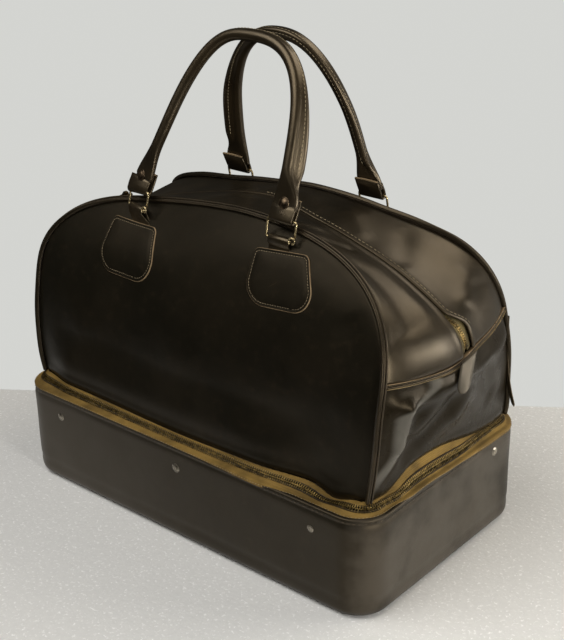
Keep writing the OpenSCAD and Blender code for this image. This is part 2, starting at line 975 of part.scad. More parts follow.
// Wire ring in the front right chape, leaning in from its pivot
module ring() {
    color(BRASS)
        translate([handle_x, -ring_y, ring_z])
            rotate([-ring_lean, 0, 0]) {
                for (z = [0, ring_h])
                    translate([0, 0, z])
                        rotate([0, 90, 0])
                            cylinder(r = wire_r, h = ring_w, center = true);
                for (x = [-1, 1])
                    translate([x * ring_w / 2, 0, 0]) {
                        cylinder(r = wire_r, h = ring_h);
                        sphere(wire_r);
                        translate([0, 0, ring_h])
                            sphere(wire_r);
                    }
            }
}

module front_right_ring() {
    ring();
}

module front_left_ring() {
    mirror([1, 0, 0])
        ring();
}

module back_right_ring() {
    mirror([0, 1, 0])
        ring();
}

module back_left_ring() {
    mirror([0, 1, 0])
        mirror([1, 0, 0])
            ring();
}

// The front handle's own frame: origin between its ends on the rings, +Z along the handle
module handle_place() {
    translate([0, -handle_y, handle_z])
        rotate([-handle_lean, 0, 0])
            children();
}

// Centre line of the rolled part, starting below the bow by leg
function bow_path(leg) = concat(
    [[handle_x, 0, leg_l - leg]],
    [for (i = [0 : 30]) [handle_x * cos(6 * i), 0, leg_l + bow_h * sin(6 * i)]],
    [[-handle_x, 0, leg_l - leg]]
);

module handle_cover() {
    roll_leg = core_leg + 2;
    color(LEATHER)
        handle_place()
            difference() {
                union() {
                    cord(bow_path(roll_leg), handle_r, sides = 12);
                    for (x = [-1, 1])
                        translate([x * handle_x, 0, 0]) {
                            translate([-tab_w / 2, -tab_t / 2, loop_r / 2])
                                cube([tab_w, tab_t, leg_l - loop_r / 2]);
                            rotate([0, 90, 0])
                                cylinder(r = loop_r, h = tab_w, center = true);
                        }
                }
                cord(bow_path(core_leg + gap), core_r + gap / 2, sides = 12);
                for (x = [-1, 1])
                    translate([x * handle_x, 0, 0]) {
                        rotate([0, 90, 0])
                            cylinder(r = wire_r + gap, h = 2 * tab_w, center = true);
                        translate([0, 0, handle_rivet_z])
                            rotate([90, 0, 0])
                                cylinder(r = rivet_hole_r, h = 3 * tab_t, center = true);
                    }
            }
}

module handle_core() {
    color(CLOTH)
        handle_place()
            cord(bow_path(core_leg), core_r, sides = 12);
}

module handle_rivets() {
    color(BRASS)
        handle_place()
            for (x = [-1, 1])
                translate([x * handle_x, -tab_t / 2, handle_rivet_z])
                    rotate([90, 0, 0])
                        rivet(handle_rivet_r, stud_head_h, tab_t);
}

module front_handle() {
    handle_cover();
}

module front_handle_core() {
    handle_core();
}

module front_handle_rivets() {
    handle_rivets();
}

module back_handle() {
    mirror([0, 1, 0])
        handle_cover();
}

module back_handle_core() {
    mirror([0, 1, 0])
        handle_core();
}

module back_handle_rivets() {
    mirror([0, 1, 0])
        handle_rivets();
}

// Round-ended tab that hangs from the side seam under the end of the top zip
module end_tab() {
    color(LEATHER)
        translate([ridge_end_x + seam_r + gap, 0, seam_mid_z])
            rotate([0, 90, 0])
                linear_extrude(leather_t) {
                    translate([-seam_r, -end_tab_w / 2])
                        square([end_tab_l - end_tab_w / 2 + seam_r, end_tab_w]);
                    translate([end_tab_l - end_tab_w / 2, 0])
                        circle(end_tab_w / 2);
                }
}

module right_end_tab() {
    end_tab();
}

module left_end_tab() {
    mirror([1, 0, 0])
        end_tab();
}

// Narrow strap that hangs free on the back near its right edge
module rear_strap() {
    strap_t = 1.6;
    strap_lean = lean_at(strap_z) + 1;
    color(LEATHER)
        translate([strap_x, depth(strap_z) + gap, strap_z])
            rotate([strap_lean, 0, 0])
                translate([-strap_w / 2, 0, -strap_l])
                    cube([strap_w, strap_t, strap_l]);
}

base_wall();
base_bottom();
base_floor_board();
base_wall_board();
base_lining();
base_rim_binding();
base_tape_lower();
base_teeth_lower();
base_studs();
rear_hinge_strip();
base_slider();
base_pull();
front_panel();
back_panel();
left_gusset();
right_gusset();
roof_front_left();
roof_front_right();
roof_back_left();
roof_back_right();
front_piping();
back_piping();
left_seam_binding();
right_seam_binding();
divider_panel();
divider_board();
base_tape_upper();
base_teeth_upper();
front_left_patch();
front_right_patch();
back_left_patch();
back_right_patch();
front_left_chape();
front_right_chape();
back_left_chape();
back_right_chape();
top_tape_ends();
top_teeth_ends();
front_flap();
top_tape_front();
top_teeth_front();
back_flap();
top_tape_back();
top_teeth_back();
top_slider();
top_pull();
front_left_ring();
front_right_ring();
back_left_ring();
back_right_ring();
front_handle();
front_handle_core();
front_handle_rivets();
back_handle();
back_handle_core();
back_handle_rivets();
left_end_tab();
right_end_tab();
rear_strap();
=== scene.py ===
"""Looks of the two-tier travel bag, built round its solids.

Shapes are worked out in millimetres in the part's frame (+Z up, front towards -Y) and written to meshes
in metres. The outline functions repeat the formulas that the solids follow.
"""

import json
import math

import bmesh
import bpy
import numpy as np
from mathutils import Matrix, Vector


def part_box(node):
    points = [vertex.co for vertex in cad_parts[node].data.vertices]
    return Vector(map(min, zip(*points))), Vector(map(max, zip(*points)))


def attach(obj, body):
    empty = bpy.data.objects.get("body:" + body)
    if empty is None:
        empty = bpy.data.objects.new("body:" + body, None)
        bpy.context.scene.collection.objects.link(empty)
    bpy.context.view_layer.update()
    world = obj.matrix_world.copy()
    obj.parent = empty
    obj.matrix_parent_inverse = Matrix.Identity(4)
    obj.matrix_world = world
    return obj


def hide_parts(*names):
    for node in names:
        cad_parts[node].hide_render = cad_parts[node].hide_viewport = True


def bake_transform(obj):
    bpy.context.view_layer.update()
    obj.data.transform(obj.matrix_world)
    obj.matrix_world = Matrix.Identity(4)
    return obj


MM = 0.001

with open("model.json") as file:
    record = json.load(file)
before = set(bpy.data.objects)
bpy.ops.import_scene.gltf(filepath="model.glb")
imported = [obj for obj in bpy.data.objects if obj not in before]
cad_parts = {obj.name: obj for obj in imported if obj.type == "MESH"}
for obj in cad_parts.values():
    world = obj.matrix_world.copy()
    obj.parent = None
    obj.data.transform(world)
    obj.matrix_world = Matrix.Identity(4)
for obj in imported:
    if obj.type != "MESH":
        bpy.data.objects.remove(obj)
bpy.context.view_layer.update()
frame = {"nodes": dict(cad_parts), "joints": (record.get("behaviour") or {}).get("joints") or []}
JOINTS = {joint["name"]: joint for joint in frame["joints"]}

# Base compartment
BASE_BOX = [np.array(corner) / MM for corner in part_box("base_wall")]
BASE_HL = BASE_BOX[1][0]
BASE_HD = BASE_BOX[1][1]
BASE_H = BASE_BOX[1][2]
BASE_CORNER_R = 31.0
BASE_EDGE_R = 9.0
WALL_T = 4.8
RIM_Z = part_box("base_rim_binding")[1][2] / MM
BASE_SKIN_T = 1.8
LEATHER_T = 2.0
LINING_T = 0.7
DIVIDER_T = 1.4
DIVIDER_SHARE = 0.978
DIVIDER_FLANGE = 0.0145
CLEAR = 0.3

# Points inside the bag that its skins look away from
BASE_MIDDLE = (0, 0, 60)
BODY_MIDDLE = (0, 0, 190)
ROOF_BELOW = (0, 0, 150)

# Sides and ends of the bag, with the words for them in names
SIDES = ((-1, "front"), (1, "back"))
ENDS = ((1, "right"), (-1, "left"))
HANDS = ((-1, "left"), (1, "right"))

# Upper body
BODY_HL = 197.0
BODY_HD = 100.0
BODY_Z = 104.0
BODY_CORNER_R = 6.0
SPRING_Z = 190.0
FLARE = 9.0
SPREAD_HL = BODY_HL + FLARE
ARCH_Z = 301.0
ARCH_N = 2.8
BELLY_Z = 150.0
BELLY_HD = 102.0
ARCH_HD = 48.0
LEAN_N = 2.25
PIPE_R = 2.0
GUSSET_HALF_W = 95.0
GUSSET_H = 90.0
SEAM_GAP = PIPE_R + CLEAR
FLAT_X = BODY_HL - BODY_CORNER_R
FLAT_Y = BODY_HD - BODY_CORNER_R

# Roof
RIDGE_Z = 300.0
RIDGE_R = 379.4
RIDGE_CZ = RIDGE_Z - RIDGE_R
BEND_X = 200.0
BEND_U = 0.8
BEND_A = math.asin(BEND_X / RIDGE_R)
RIDGE_END_X = 222.0
SEAM_MID_Z = 201.0
SEAM_EDGE_Z = 208.0

# Zip round the base
END_RISE = 16.0
RIGHT_RISE = 12.5
ZIP_START_HL = BASE_HL - WALL_T - CLEAR
ZIP_START_HD = BASE_HD - WALL_T - CLEAR
ZIP_START_R = BASE_CORNER_R - WALL_T - CLEAR
ZIP_OUT = 0.55
ZIP_UP = 0.83
TOOTH_PITCH = 2.2
ROW_HALF = 3.3
TAPE_T = 0.8
TAPE_LIFT = 0.8
CORD_R = 0.85
CORD_LIFT = 0.9
TEETH_LIFT = 1.1
BASE_TOOTH_HALF_T = 0.21 * TOOTH_PITCH
TOP_TOOTH_HALF_T = 0.31 * TOOTH_PITCH
HINGE_T = 1.2


def lerp(a, b, t):
    """Value between a at 0 and b at 1."""
    return a + (b - a) * t


def unit(v):
    """Vectors at length 1."""
    return v / np.maximum(np.linalg.norm(v, axis=-1, keepdims=True), 1e-12)


def smooth(t):
    """Eased step from 0 to 1."""
    t = np.clip(t, 0, 1)
    return t * t * (3 - 2 * t)


def bell(x):
    """Bell curve with its top of 1 at 0."""
    return np.exp(-x * x)


def circle(count):
    """Angles spread evenly round a circle."""
    return np.linspace(0, 2 * math.pi, count, endpoint=False)


def rounded(v, power):
    """Power of the size of v, with its sign kept."""
    return np.sign(v) * np.abs(v) ** power


# Outlines that the solids share

def arch_x(z):
    """Half width of the panels at height z."""
    z = np.asarray(z, float)
    low = BODY_HL + FLARE * (1 - ((SPRING_Z - z) / (SPRING_Z - BODY_Z)) ** 2)
    share = np.clip((z - SPRING_Z) / (ARCH_Z - SPRING_Z), 0, 1)
    return np.where(z < SPRING_Z, low, SPREAD_HL * (1 - share**ARCH_N) ** (1 / ARCH_N))


def arch_top(x):
    """Height of the panels' arch at x."""
    share = np.clip(np.abs(x) / SPREAD_HL, 0, 1)
    return SPRING_Z + (ARCH_Z - SPRING_Z) * (1 - share**ARCH_N) ** (1 / ARCH_N)


def arch_line(low, low_n, high_n):
    """Arch as x and z, from its lower right end over its top to its lower left end."""
    z = np.linspace(low, SEAM_EDGE_Z, low_n, endpoint=False)
    u = np.linspace(1, 0, high_n)
    half = np.concatenate([np.stack([arch_x(z), z], 1), np.stack(arch_at(u), 1)])
    return np.concatenate([half, half[-2::-1] * [-1, 1]])


def depth(z):
    """Distance of the panels from the middle at height z."""
    z = np.asarray(z, float)
    low = BELLY_HD - (BELLY_HD - BODY_HD) * ((BELLY_Z - z) / (BELLY_Z - BODY_Z)) ** 2
    high = BELLY_HD - (BELLY_HD - ARCH_HD) * (np.clip(z - BELLY_Z, 0, None) / (ARCH_Z - BELLY_Z)) ** LEAN_N
    return np.where(z < BELLY_Z, low, high)


def ridge_at(u):
    """Ridge from the middle (0) over the bend to the side seam (1), as x and z."""
    u = np.asarray(u, float)
    a = BEND_A * np.minimum(u, BEND_U) / BEND_U
    t = np.clip((u - BEND_U) / (1 - BEND_U), 0, 1)
    z0 = RIDGE_CZ + RIDGE_R * math.cos(BEND_A)
    z1 = z0 - (RIDGE_END_X - BEND_X) * math.tan(BEND_A)
    bend_x = BEND_X * (1 - t) ** 2 + RIDGE_END_X * (1 - (1 - t) ** 2)
    bend_z = z0 * (1 - t) ** 2 + 2 * t * (1 - t) * z1 + SEAM_MID_Z * t * t
    on_arc = u < BEND_U
    arc_x, arc_z = RIDGE_R * np.sin(a), RIDGE_CZ + RIDGE_R * np.cos(a)
    return np.where(on_arc, arc_x, bend_x), np.where(on_arc, arc_z, bend_z)


def arch_at(u):
    """Arch from its top (0) to the side seam (1), as x and z."""
    u = np.asarray(u, float)
    x, _ = ridge_at(np.minimum(u, BEND_U))
    top = arch_top(x)
    z = lerp(arch_top(BEND_X), SEAM_EDGE_Z, np.clip((u - BEND_U) / (1 - BEND_U), 0, 1))
    return np.where(u < BEND_U, x, arch_x(z)), np.where(u < BEND_U, top, z)


def front_lift(x):
    """Lift of the front's lower edge, which sags in the middle and dips over the zip near the right end."""
    return -0.5 - 3.2 * bell((x + 10) / 85) - 7.5 * bell((x - 163) / 16)


def front_push(x):
    """How far the front's lower edge bulges out over the zip."""
    return 8.0 * smooth((150 - x) / 70) * smooth((x + 196) / 45)


def end_lift(y, side):
    """Lift of an end's lower edge; on the right end it starts low, then climbs at once."""
    if side < 0:
        return END_RISE * np.clip(1 - (y / FLAT_Y) ** 2, 0, None)
    return RIGHT_RISE * smooth((y + 80) / 34) * (1 - smooth((y + 10) / 85))


def end_push(y):
    """How far the lower edge of the right end is pushed in."""
    return 2.0 * bell((y + 26) / 32)


def rim_rise(p):
    """Rise of the rim on the right end, where the wall has swollen a little."""
    return 2.6 * smooth((p[..., 0] - 185) / 20) * bell((p[..., 1] + 38) / 34)


def zip_loop(w, n, back=False):
    """Path beside the base zip at place w and height n above the tape.

    Place -1 is the base's outer edge, 0 the inside of its rim and 1 the body's lower edge. The path runs
    round the rear right corner, the front and the rear left corner, or with back=True straight along the
    back."""
    side_n, corner_n = 64, 14
    out = ZIP_OUT * n
    t, e = max(w, 0), max(-w, 0)
    hx = lerp(ZIP_START_HL, BODY_HL, t) + (BASE_HL - 0.5 - ZIP_START_HL) * e + out
    hy = lerp(ZIP_START_HD, BODY_HD, t) + (BASE_HD - 0.5 - ZIP_START_HD) * e + out
    r = lerp(ZIP_START_R, BODY_CORNER_R, t) + (BASE_CORNER_R - 0.5 - ZIP_START_R) * e + out
    z = lerp(RIM_Z, BODY_Z, t) - 0.3 * e + ZIP_UP * n
    sx, sy = hx - r, hy - r
    side = np.linspace(1, -1, side_n)

    def straight(x, y, lift):
        return np.stack([x + 0 * side, y + 0 * side, z + t * lift], 1)

    def turn(cx, cy, start):
        a = np.radians(start - 90 * np.arange(1, corner_n) / corner_n)
        return np.stack([cx + r * np.cos(a), cy + r * np.sin(a), z + 0 * a], 1)

    if back:
        return straight(-side * sx, hy, 0 * side)
    x, y = side * FLAT_X, side * FLAT_Y
    path = np.concatenate([
        turn(sx, sy, 90),
        straight(hx - t * end_push(y), side * sy, end_lift(y, 1)),
        turn(sx, -sy, 0),
        straight(side * sx, -hy - t * front_push(x), front_lift(x)),
        turn(-sx, -sy, -90),
        straight(-hx, -side * sy, end_lift(y, -1)),
        turn(-sx, sy, 180),
    ])
    path[:, 2] += (1 - t) * rim_rise(path)
    return path


def mid_loop(step, n):
    """Path beside the middle of the base zip, which lies closer to the rim on the right end."""
    high, low = zip_loop(0.5 + step, n), zip_loop(0.27 + step, n)
    y = high[:, 1]
    share = smooth((high[:, 0] - 190) / 10) * smooth((y + 90) / 25) * (1 - smooth((y - 20) / 60))
    return lerp(high, low, share[:, None])


# Small surface movements that make the hide look soft

def ripple(points, size, seed):
    """Smooth waviness between about -1 and 1, with features of about size."""
    rng = np.random.default_rng(seed)
    total = np.zeros(points.shape[:-1])
    for _ in range(7):
        way = unit(rng.normal(size=3)) * 2 * math.pi / (size * rng.uniform(1.2, 2.6))
        total = total + np.sin(points @ way + rng.uniform(0, 2 * math.pi))
    return total / 4


def ridge_line(points, start, end, width):
    """1 on the line between two points, falling off over width, and fading at both ends."""
    start, end = np.array(start, float), np.array(end, float)
    way = end - start
    t = ((points - start) @ way) / (way @ way)
    near = start + np.clip(t, 0, 1)[..., None] * way
    d = np.linalg.norm(points - near, axis=-1)
    return bell(d / width) * smooth(np.clip(t, 0, 1) * 4) * smooth((1 - np.clip(t, 0, 1)) * 4)


def creased(off, points, creases):
    """Heights of a surface with creases added, each given by its start, end, width and height."""
    for start, end, width, height in creases:
        off = off + height * ridge_line(points, start, end, width)
    return off


def pillow(d, rise, width, sink=1.2):
    """Swell of a skin at distance d from its seams, which draw it in."""
    return rise * (1 - bell(d / width)) - sink * bell(d / 2.5)


# Mesh makers

def add_piece(name, points, faces, material, smooth_faces=True):
    """Object from points in millimetres and faces."""
    mesh = bpy.data.meshes.new(name)
    mesh.from_pydata((np.asarray(points) * MM).tolist(), [], [tuple(int(i) for i in f) for f in faces])
    mesh.update()
    mesh.polygons.foreach_set("use_smooth", [smooth_faces] * len(mesh.polygons))
    obj = bpy.data.objects.new(name, mesh)
    bpy.context.scene.collection.objects.link(obj)
    for m in material if isinstance(material, list) else [material]:
        mesh.materials.append(m)
    return obj


def grid_faces(rows, cols, loop):
    """Four-sided faces of a grid of points, whose last column may join the first."""
    i, j = np.meshgrid(np.arange(rows - 1), np.arange(cols - (not loop)), indexing="ij")
    i2, j2 = i + 1, (j + 1) % cols
    quads = np.stack([i * cols + j, i * cols + j2, i2 * cols + j2, i2 * cols + j], -1)
    return quads.reshape(-1, 4)


def ways_across(path, up):
    """Two directions across a path, the first one nearest to up."""
    tangent = unit(np.gradient(path, axis=0))
    up = np.broadcast_to(np.asarray(up, float), path.shape)
    across = unit(up - (up * tangent).sum(-1, keepdims=True) * tangent)
    return across, np.cross(tangent, across)


def tube(name, rings, material):
    """Closed solid through rings of points, with a fan over each end."""
    n, m = rings.shape[:2]
    points = np.concatenate([rings.reshape(-1, 3), rings[:1].mean(1), rings[-1:].mean(1)])
    faces = grid_faces(n, m, True).tolist()
    faces += [[(j + 1) % m, j, n * m] for j in range(m)]
    faces += [[(n - 1) * m + j, (n - 1) * m + (j + 1) % m, n * m + 1] for j in range(m)]
    return add_piece(name, points, faces, material)


def swept(name, path, section, material, up=(0, 0, 1)):
    """Solid swept along a path; section is a loop of (across, side) pairs and may differ at each point."""
    path = np.asarray(path, float)
    across, side = ways_across(path, up)
    section = np.broadcast_to(section, (len(path), *np.shape(section)[-2:]))
    rings = path[:, None] + section[..., :1] * across[:, None] + section[..., 1:] * side[:, None]
    return tube(name, rings, material)


def wire_section(r, sides=10):
    """Round section for a swept wire or cord."""
    a = circle(sides)
    return np.stack([r * np.cos(a), r * np.sin(a)], 1)


def respace(path, step, shift=0.0):
    """Places along a path at an even spacing, as fractional indices."""
    lengths = np.concatenate([[0], np.cumsum(np.linalg.norm(np.diff(path, axis=0), axis=1))])
    count = max(2, int((lengths[-1] - shift) // step))
    return np.interp(shift + step * np.arange(count), lengths, np.arange(len(path)))


def at(values, places):
    """Rows of values at fractional indices."""
    index = np.arange(len(values))
    return np.stack([np.interp(places, index, values[:, k]) for k in range(values.shape[1])], 1)


def copies(name, template, faces, origins, axes, material, smooth_faces=True):
    """Copies of a small form, with its X, Y and Z along the three rows of each frame."""
    count, size = len(origins), len(template)
    points = origins[:, None] + np.einsum("vk,nkc->nvc", template, axes)
    all_faces = []
    for k in range(count):
        all_faces += [[i + k * size for i in f] for f in faces]
    return add_piece(name, points.reshape(-1, 3), all_faces, material, smooth_faces)


def prism(profile, half_t, chamfer):
    """Closed prism of a profile in Y and Z, along X, with chamfered ends."""
    profile = np.array(profile, float)
    middle = profile.mean(0)
    inner = middle + (profile - middle) * (1 - chamfer)
    flat_t = half_t * (1 - chamfer)
    rings = [(-half_t, inner), (-flat_t, profile), (flat_t, profile), (half_t, inner)]
    m = len(profile)
    points = np.concatenate([np.column_stack([np.full(m, x), ring]) for x, ring in rings])
    faces = grid_faces(len(rings), m, True).tolist()
    faces += [list(range(m))[::-1], [3 * m + j for j in range(m)]]
    return points, faces


# Pitch, length, thickness and lift of the stitches in each seam
TAPE_STITCHES = (3.1, 1.7, 0.35, 0.1)
PATCH_STITCHES = (2.6, 1.8, 0.38, 0.05)
HANDLE_STITCHES = (3.6, 2.4, 0.6, 0.05)
RIDGE_STITCHES = (4.2, 2.6, 0.6, 0.2)
RIM_STITCHES = (4.6, 2.6, 0.7, 0.25)

STITCH = prism([(0.5 * math.cos(a), 0.5 * math.sin(a)) for a in circle(6)], 1.0, 0.45)


def stitches(name, path, out, material, pitch, length, thick, lift):
    """Row of thread stitches along a path, lying on a surface that faces out."""
    path = np.asarray(path, float)
    out = np.broadcast_to(np.asarray(out, float), path.shape)
    places = respace(path, pitch, pitch / 2)
    origins = at(path, places)
    normal = unit(at(out, places))
    along = unit(at(np.gradient(path, axis=0), places))
    normal = unit(normal - (normal * along).sum(1, keepdims=True) * along)
    side = np.cross(normal, along)
    axes = np.stack([along * length / 2, side * thick, normal * thick * 0.8], 1)
    return copies(name, *STITCH, origins + normal * lift, axes, material)


def shell(name, outer, material, thickness, centre, loop=False, pole=False,
          rims=(True, True, True, True), edge=None):
    """Closed skin through a grid of outer points, with rounded edges, that looks away from the centre.

    loop joins the last column to the first, pole draws the first row into one point, and rims says which
    of the first row, last row, first column and last column get an edge, which may have its own material."""
    rows, cols = outer.shape[:2]
    along = np.gradient(outer, axis=1)
    if loop:
        wrapped = np.concatenate([outer[:, -1:], outer, outer[:, :1]], 1)
        along = np.gradient(wrapped, axis=1)[:, 1:-1]
    down = np.gradient(outer, axis=0)
    if pole:
        down[0] = down[1]
        along[0] = along[1]
    normal = unit(np.cross(along, down))
    sign = 1 if ((outer - np.array(centre, float)) * normal).sum(-1).mean() > 0 else -1
    normal = normal * sign
    if pole:
        normal[0] = unit(normal[1].mean(0))
    inner = outer - normal * thickness
    points = [outer.reshape(-1, 3), inner.reshape(-1, 3)]
    faces = grid_faces(rows, cols, loop)
    if sign < 0:
        faces = faces[:, ::-1]
    count = rows * cols
    faces = np.concatenate([faces[:, ::-1], faces + count]).tolist()
    if pole:
        faces += [list(range(cols)), list(range(count, count + cols))]
    base = 2 * count
    skin_faces = len(faces)
    for side, on in enumerate(rims):
        if not on or (loop and side > 1) or (pole and side == 0):
            continue
        if side < 2:
            row = (rows - 1) * side
            index = row * cols + np.arange(cols)
            step = down[row] * (1 if side else -1)
        else:
            col = (cols - 1) * (side - 2)
            index = np.arange(rows) * cols + col
            step = along[:, col] * (1 if side == 3 else -1)
        a, b = points[0][index], points[1][index]
        points.append((a + b) / 2 + unit(step) * thickness * 0.4)
        m = len(index)
        k = np.arange(m if loop else m - 1)
        n = (k + 1) % m
        faces += np.stack([index[k], index[n], base + n, base + k], 1).tolist()
        faces += np.stack([base + k, base + n, count + index[n], count + index[k]], 1).tolist()
        base += m
    obj = add_piece(name, np.concatenate(points), faces, [material, edge] if edge else material)
    if edge:
        for polygon in obj.data.polygons[skin_faces:]:
            polygon.material_index = 1
    tidy_normals(obj)
    return obj


def tidy_normals(obj):
    """Makes the faces of a closed piece look outwards."""
    work = bmesh.new()
    work.from_mesh(obj.data)
    bmesh.ops.recalc_face_normals(work, faces=work.faces)
    work.to_mesh(obj.data)
    work.free()


def dress(obj, body, slot, *nodes):
    """Sets what a piece rides on and hides the solids that it stands in for; its slot is not used."""
    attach(obj, body)
    if nodes:
        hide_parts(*nodes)
    return obj


def dress_bent(obj, body, other, start, end, slot, *nodes):
    """Bakes a piece's placing into its mesh and hides the solids that it stands in for; it does not bend, and
    body, other, start, end and slot are not used.
    """
    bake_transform(obj)
    if nodes:
        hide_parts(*nodes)
    return obj


def roof_bend(sign):
    """Two points in metres on one hand of the mouth, given as where a bend of the roof leather would start
    and end; the leather is not bent.
    """
    return (sign * 0.150, 0, 0.28), (sign * 0.104, 0, 0.28)


def settle(p):
    """Uneven sag of the soft upper body: how far the old leather has moved from its even outline."""
    p = np.asarray(p, float)
    x, y, z = p[..., 0], p[..., 1], p[..., 2]
    moved = p.copy()
    front = smooth((35 - y) / 70)
    rear = 1 - front
    top = smooth((z - 235) / 55)
    left_in = smooth((-x - 110) / 70) * bell((z - 195) / 58)
    shoulder = bell((x + 162) / 42) * bell((z - 262) / 34)
    right_in = rear * smooth((x - 125) / 60) * bell((z - 218) / 62)
    right_foot = rear * smooth((x - 150) / 40) * bell((z - 106) / 24)
    moved[..., 0] += 8.5 * left_in - 9.5 * right_in + 4.5 * right_foot
    moved[..., 2] -= 3.5 * shoulder
    moved[..., 2] -= top * front * 9.0 * bell((x + 88) / 78)
    moved[..., 2] -= top * rear * (12.0 * bell((x + 92) / 95) + 4.0 * bell((x - 120) / 55))
    moved[..., 1] -= top * rear * 3.0 * bell(x / 150)
    ridge = bell(y / 36) * smooth((x - 5) / 70) * (1 - 0.75 * smooth((x - 206) / 18)) * smooth((z - 195) / 30)
    moved[..., 1] -= 9.0 * ridge
    moved[..., 2] -= 2.0 * ridge
    return moved


# Base compartment

def plan_ring(inset):
    """Rounded outline of the base, moved in by inset, with its outward normals."""
    side_n, corner_n = 44, 12
    r = BASE_CORNER_R
    sx, sy = BASE_HL - r, BASE_HD - r
    points, normals = [], []
    turns = ((1, -1, -90, 0, 1), (1, 1, 0, -1, 0), (-1, 1, 90, 0, -1), (-1, -1, 180, 1, 0))
    for cx, cy, start, ax, ay in turns:
        a = np.radians(start + 90 * np.arange(corner_n) / corner_n)
        n = np.stack([np.cos(a), np.sin(a)], 1)
        points.append(np.array([cx * sx, cy * sy]) + r * n)
        normals.append(n)
        n = np.array([ay, -ax], float)
        half = sy if ax == 0 else sx
        t = np.linspace(0, 1, side_n, endpoint=False)[:, None]
        begin = np.array([cx * sx, cy * sy]) + r * n
        points.append(begin + t * 2 * half * np.array([ax, ay]))
        normals.append(np.repeat(n[None], side_n, 0))
    points, normals = np.concatenate(points), np.concatenate(normals)
    return points - normals * inset, normals


def plan_rows(profile, shares):
    """Points and outward normals through a profile of insets and heights, closed below by smaller rings."""
    rows = []
    for inset, z in profile:
        ring, normal = plan_ring(inset)
        rows.append(np.column_stack([ring, np.full(len(ring), z), normal]))
    foot = rows[-1]
    for share in shares:
        rows.append(foot * [share, share, 1, 1, 1])
    rows = np.array(rows)
    return rows[..., :3].copy(), rows[..., 3:]


def base_skin(material):
    """Wall skin folded over the rim, rolled under at the foot and closed below."""
    profile = [(WALL_T, BASE_H - 6), (WALL_T, RIM_Z - 1), (WALL_T - 0.7, RIM_Z - 0.2), (WALL_T - 1.6, RIM_Z)]
    profile += [(1.4, RIM_Z), (0.6, RIM_Z - 0.3), (0.1, RIM_Z - 1.1)]
    profile += [(0, z) for z in (RIM_Z - 2, RIM_Z - 3, RIM_Z - 4.2, RIM_Z - 5, RIM_Z - 6)]
    profile += [(0, z) for z in np.linspace(RIM_Z - 9, BASE_EDGE_R + 2, 26)]
    for a in np.radians(np.linspace(0, 90, 12)):
        profile.append((BASE_EDGE_R * (1 - math.cos(a)), BASE_EDGE_R * (1 - math.sin(a))))
    profile += [(16, 0), (24, 0), (30, 0)]
    points, normal = plan_rows(profile, (0.8, 0.55, 0.3, 0.1, 0.001))
    z = points[..., 2]
    wall = smooth((z - 6) / 14) * smooth((RIM_Z - 1 - z) / 8)
    outside = np.arange(len(points))[:, None] > 5
    out = wall * outside * (0.5 * ripple(points, 110, 3) + 0.22 * ripple(points, 34, 4) + 0.5)
    out = out - 0.7 * outside * bell((z - (RIM_Z - 5)) / 1.3) - 0.5 * outside * bell((z - 17) / 3)
    points[..., 0] += normal[..., 0] * out
    points[..., 1] += normal[..., 1] * out
    points[..., 2] += rim_rise(points) * smooth((z - 70) / 22)
    return shell("base_skin", points, material, BASE_SKIN_T, BASE_MIDDLE, loop=True,
                 rims=(True, False, True, True))


def lining(material):
    """Cloth lining of the base, glued to its wall and floor boards with a few soft waves."""
    inside = WALL_T + CLEAR
    profile = [(inside, z) for z in (BASE_H - 1, *np.linspace(BASE_H - 4, 10, 14))]
    profile += [(inside + 1, 6.5), (inside + 4, 5.2), (16, 4.9), (29, 4.8)]
    points, _ = plan_rows(profile, (0.75, 0.5, 0.25, 0.01))
    soft = smooth((points[..., 2] - 4) / 10) * smooth((BASE_H - points[..., 2]) / 6)
    points[..., 0] *= 1 - 0.0022 * soft * (1 + ripple(points, 60, 8))
    points[..., 1] *= 1 - 0.004 * soft * (1 + ripple(points, 60, 9))
    return shell("base_lining_cloth", points, material, LINING_T, BASE_MIDDLE, loop=True)


# Zip round the base

MID_GAP = 0.18


def upper_tape(name, material):
    """Woven tape between the teeth and the body's lower edge."""
    inner, outer = mid_loop(MID_GAP, TAPE_LIFT), zip_loop(0.99, TAPE_LIFT)
    rows = [lerp(inner, outer, k) for k in np.linspace(0, 1, 9)]
    return shell(name, np.stack(rows), material, TAPE_T, BASE_MIDDLE)


def lower_tape(name, material):
    """Lower tape, folded over the rim except round the near corner, and the path of its seam."""
    rim, outer, inner = zip_loop(0, TAPE_LIFT), zip_loop(-1, TAPE_LIFT), mid_loop(-MID_GAP, TAPE_LIFT)
    x, y = rim[:, 0], rim[:, 1]
    bare = smooth((x - 95) / 40) * smooth((-55 - y) / 30)
    start = lerp(rim, outer, (1 - 0.75 * bare)[:, None])
    away = unit((outer - rim) * [1, 1, 0])
    front_fall = 2.6 * bell((x - 95) / 50) * (y < -90)
    right_fall = 2.8 * smooth((x - 150) / 40) * smooth(y / 70)
    fall = (1 - bare) * (0.7 + front_fall + right_fall)
    lip = start + away * (0.5 * (1 - bare))[:, None] - fall[:, None] * [0, 0, 1]
    rows = [lip, start, lerp(start, rim, 0.5)] + [lerp(rim, inner, k) for k in np.linspace(0, 1, 6)]
    seam = lerp(lip, start, 0.5) + away * 0.25
    return shell(name, np.stack(rows), material, TAPE_T, BASE_MIDDLE), seam


def tape_cord(name, step, material):
    """Cord woven into a tape's edge beside the teeth."""
    return swept(name, mid_loop(step, CORD_LIFT), wire_section(CORD_R, 8), material)


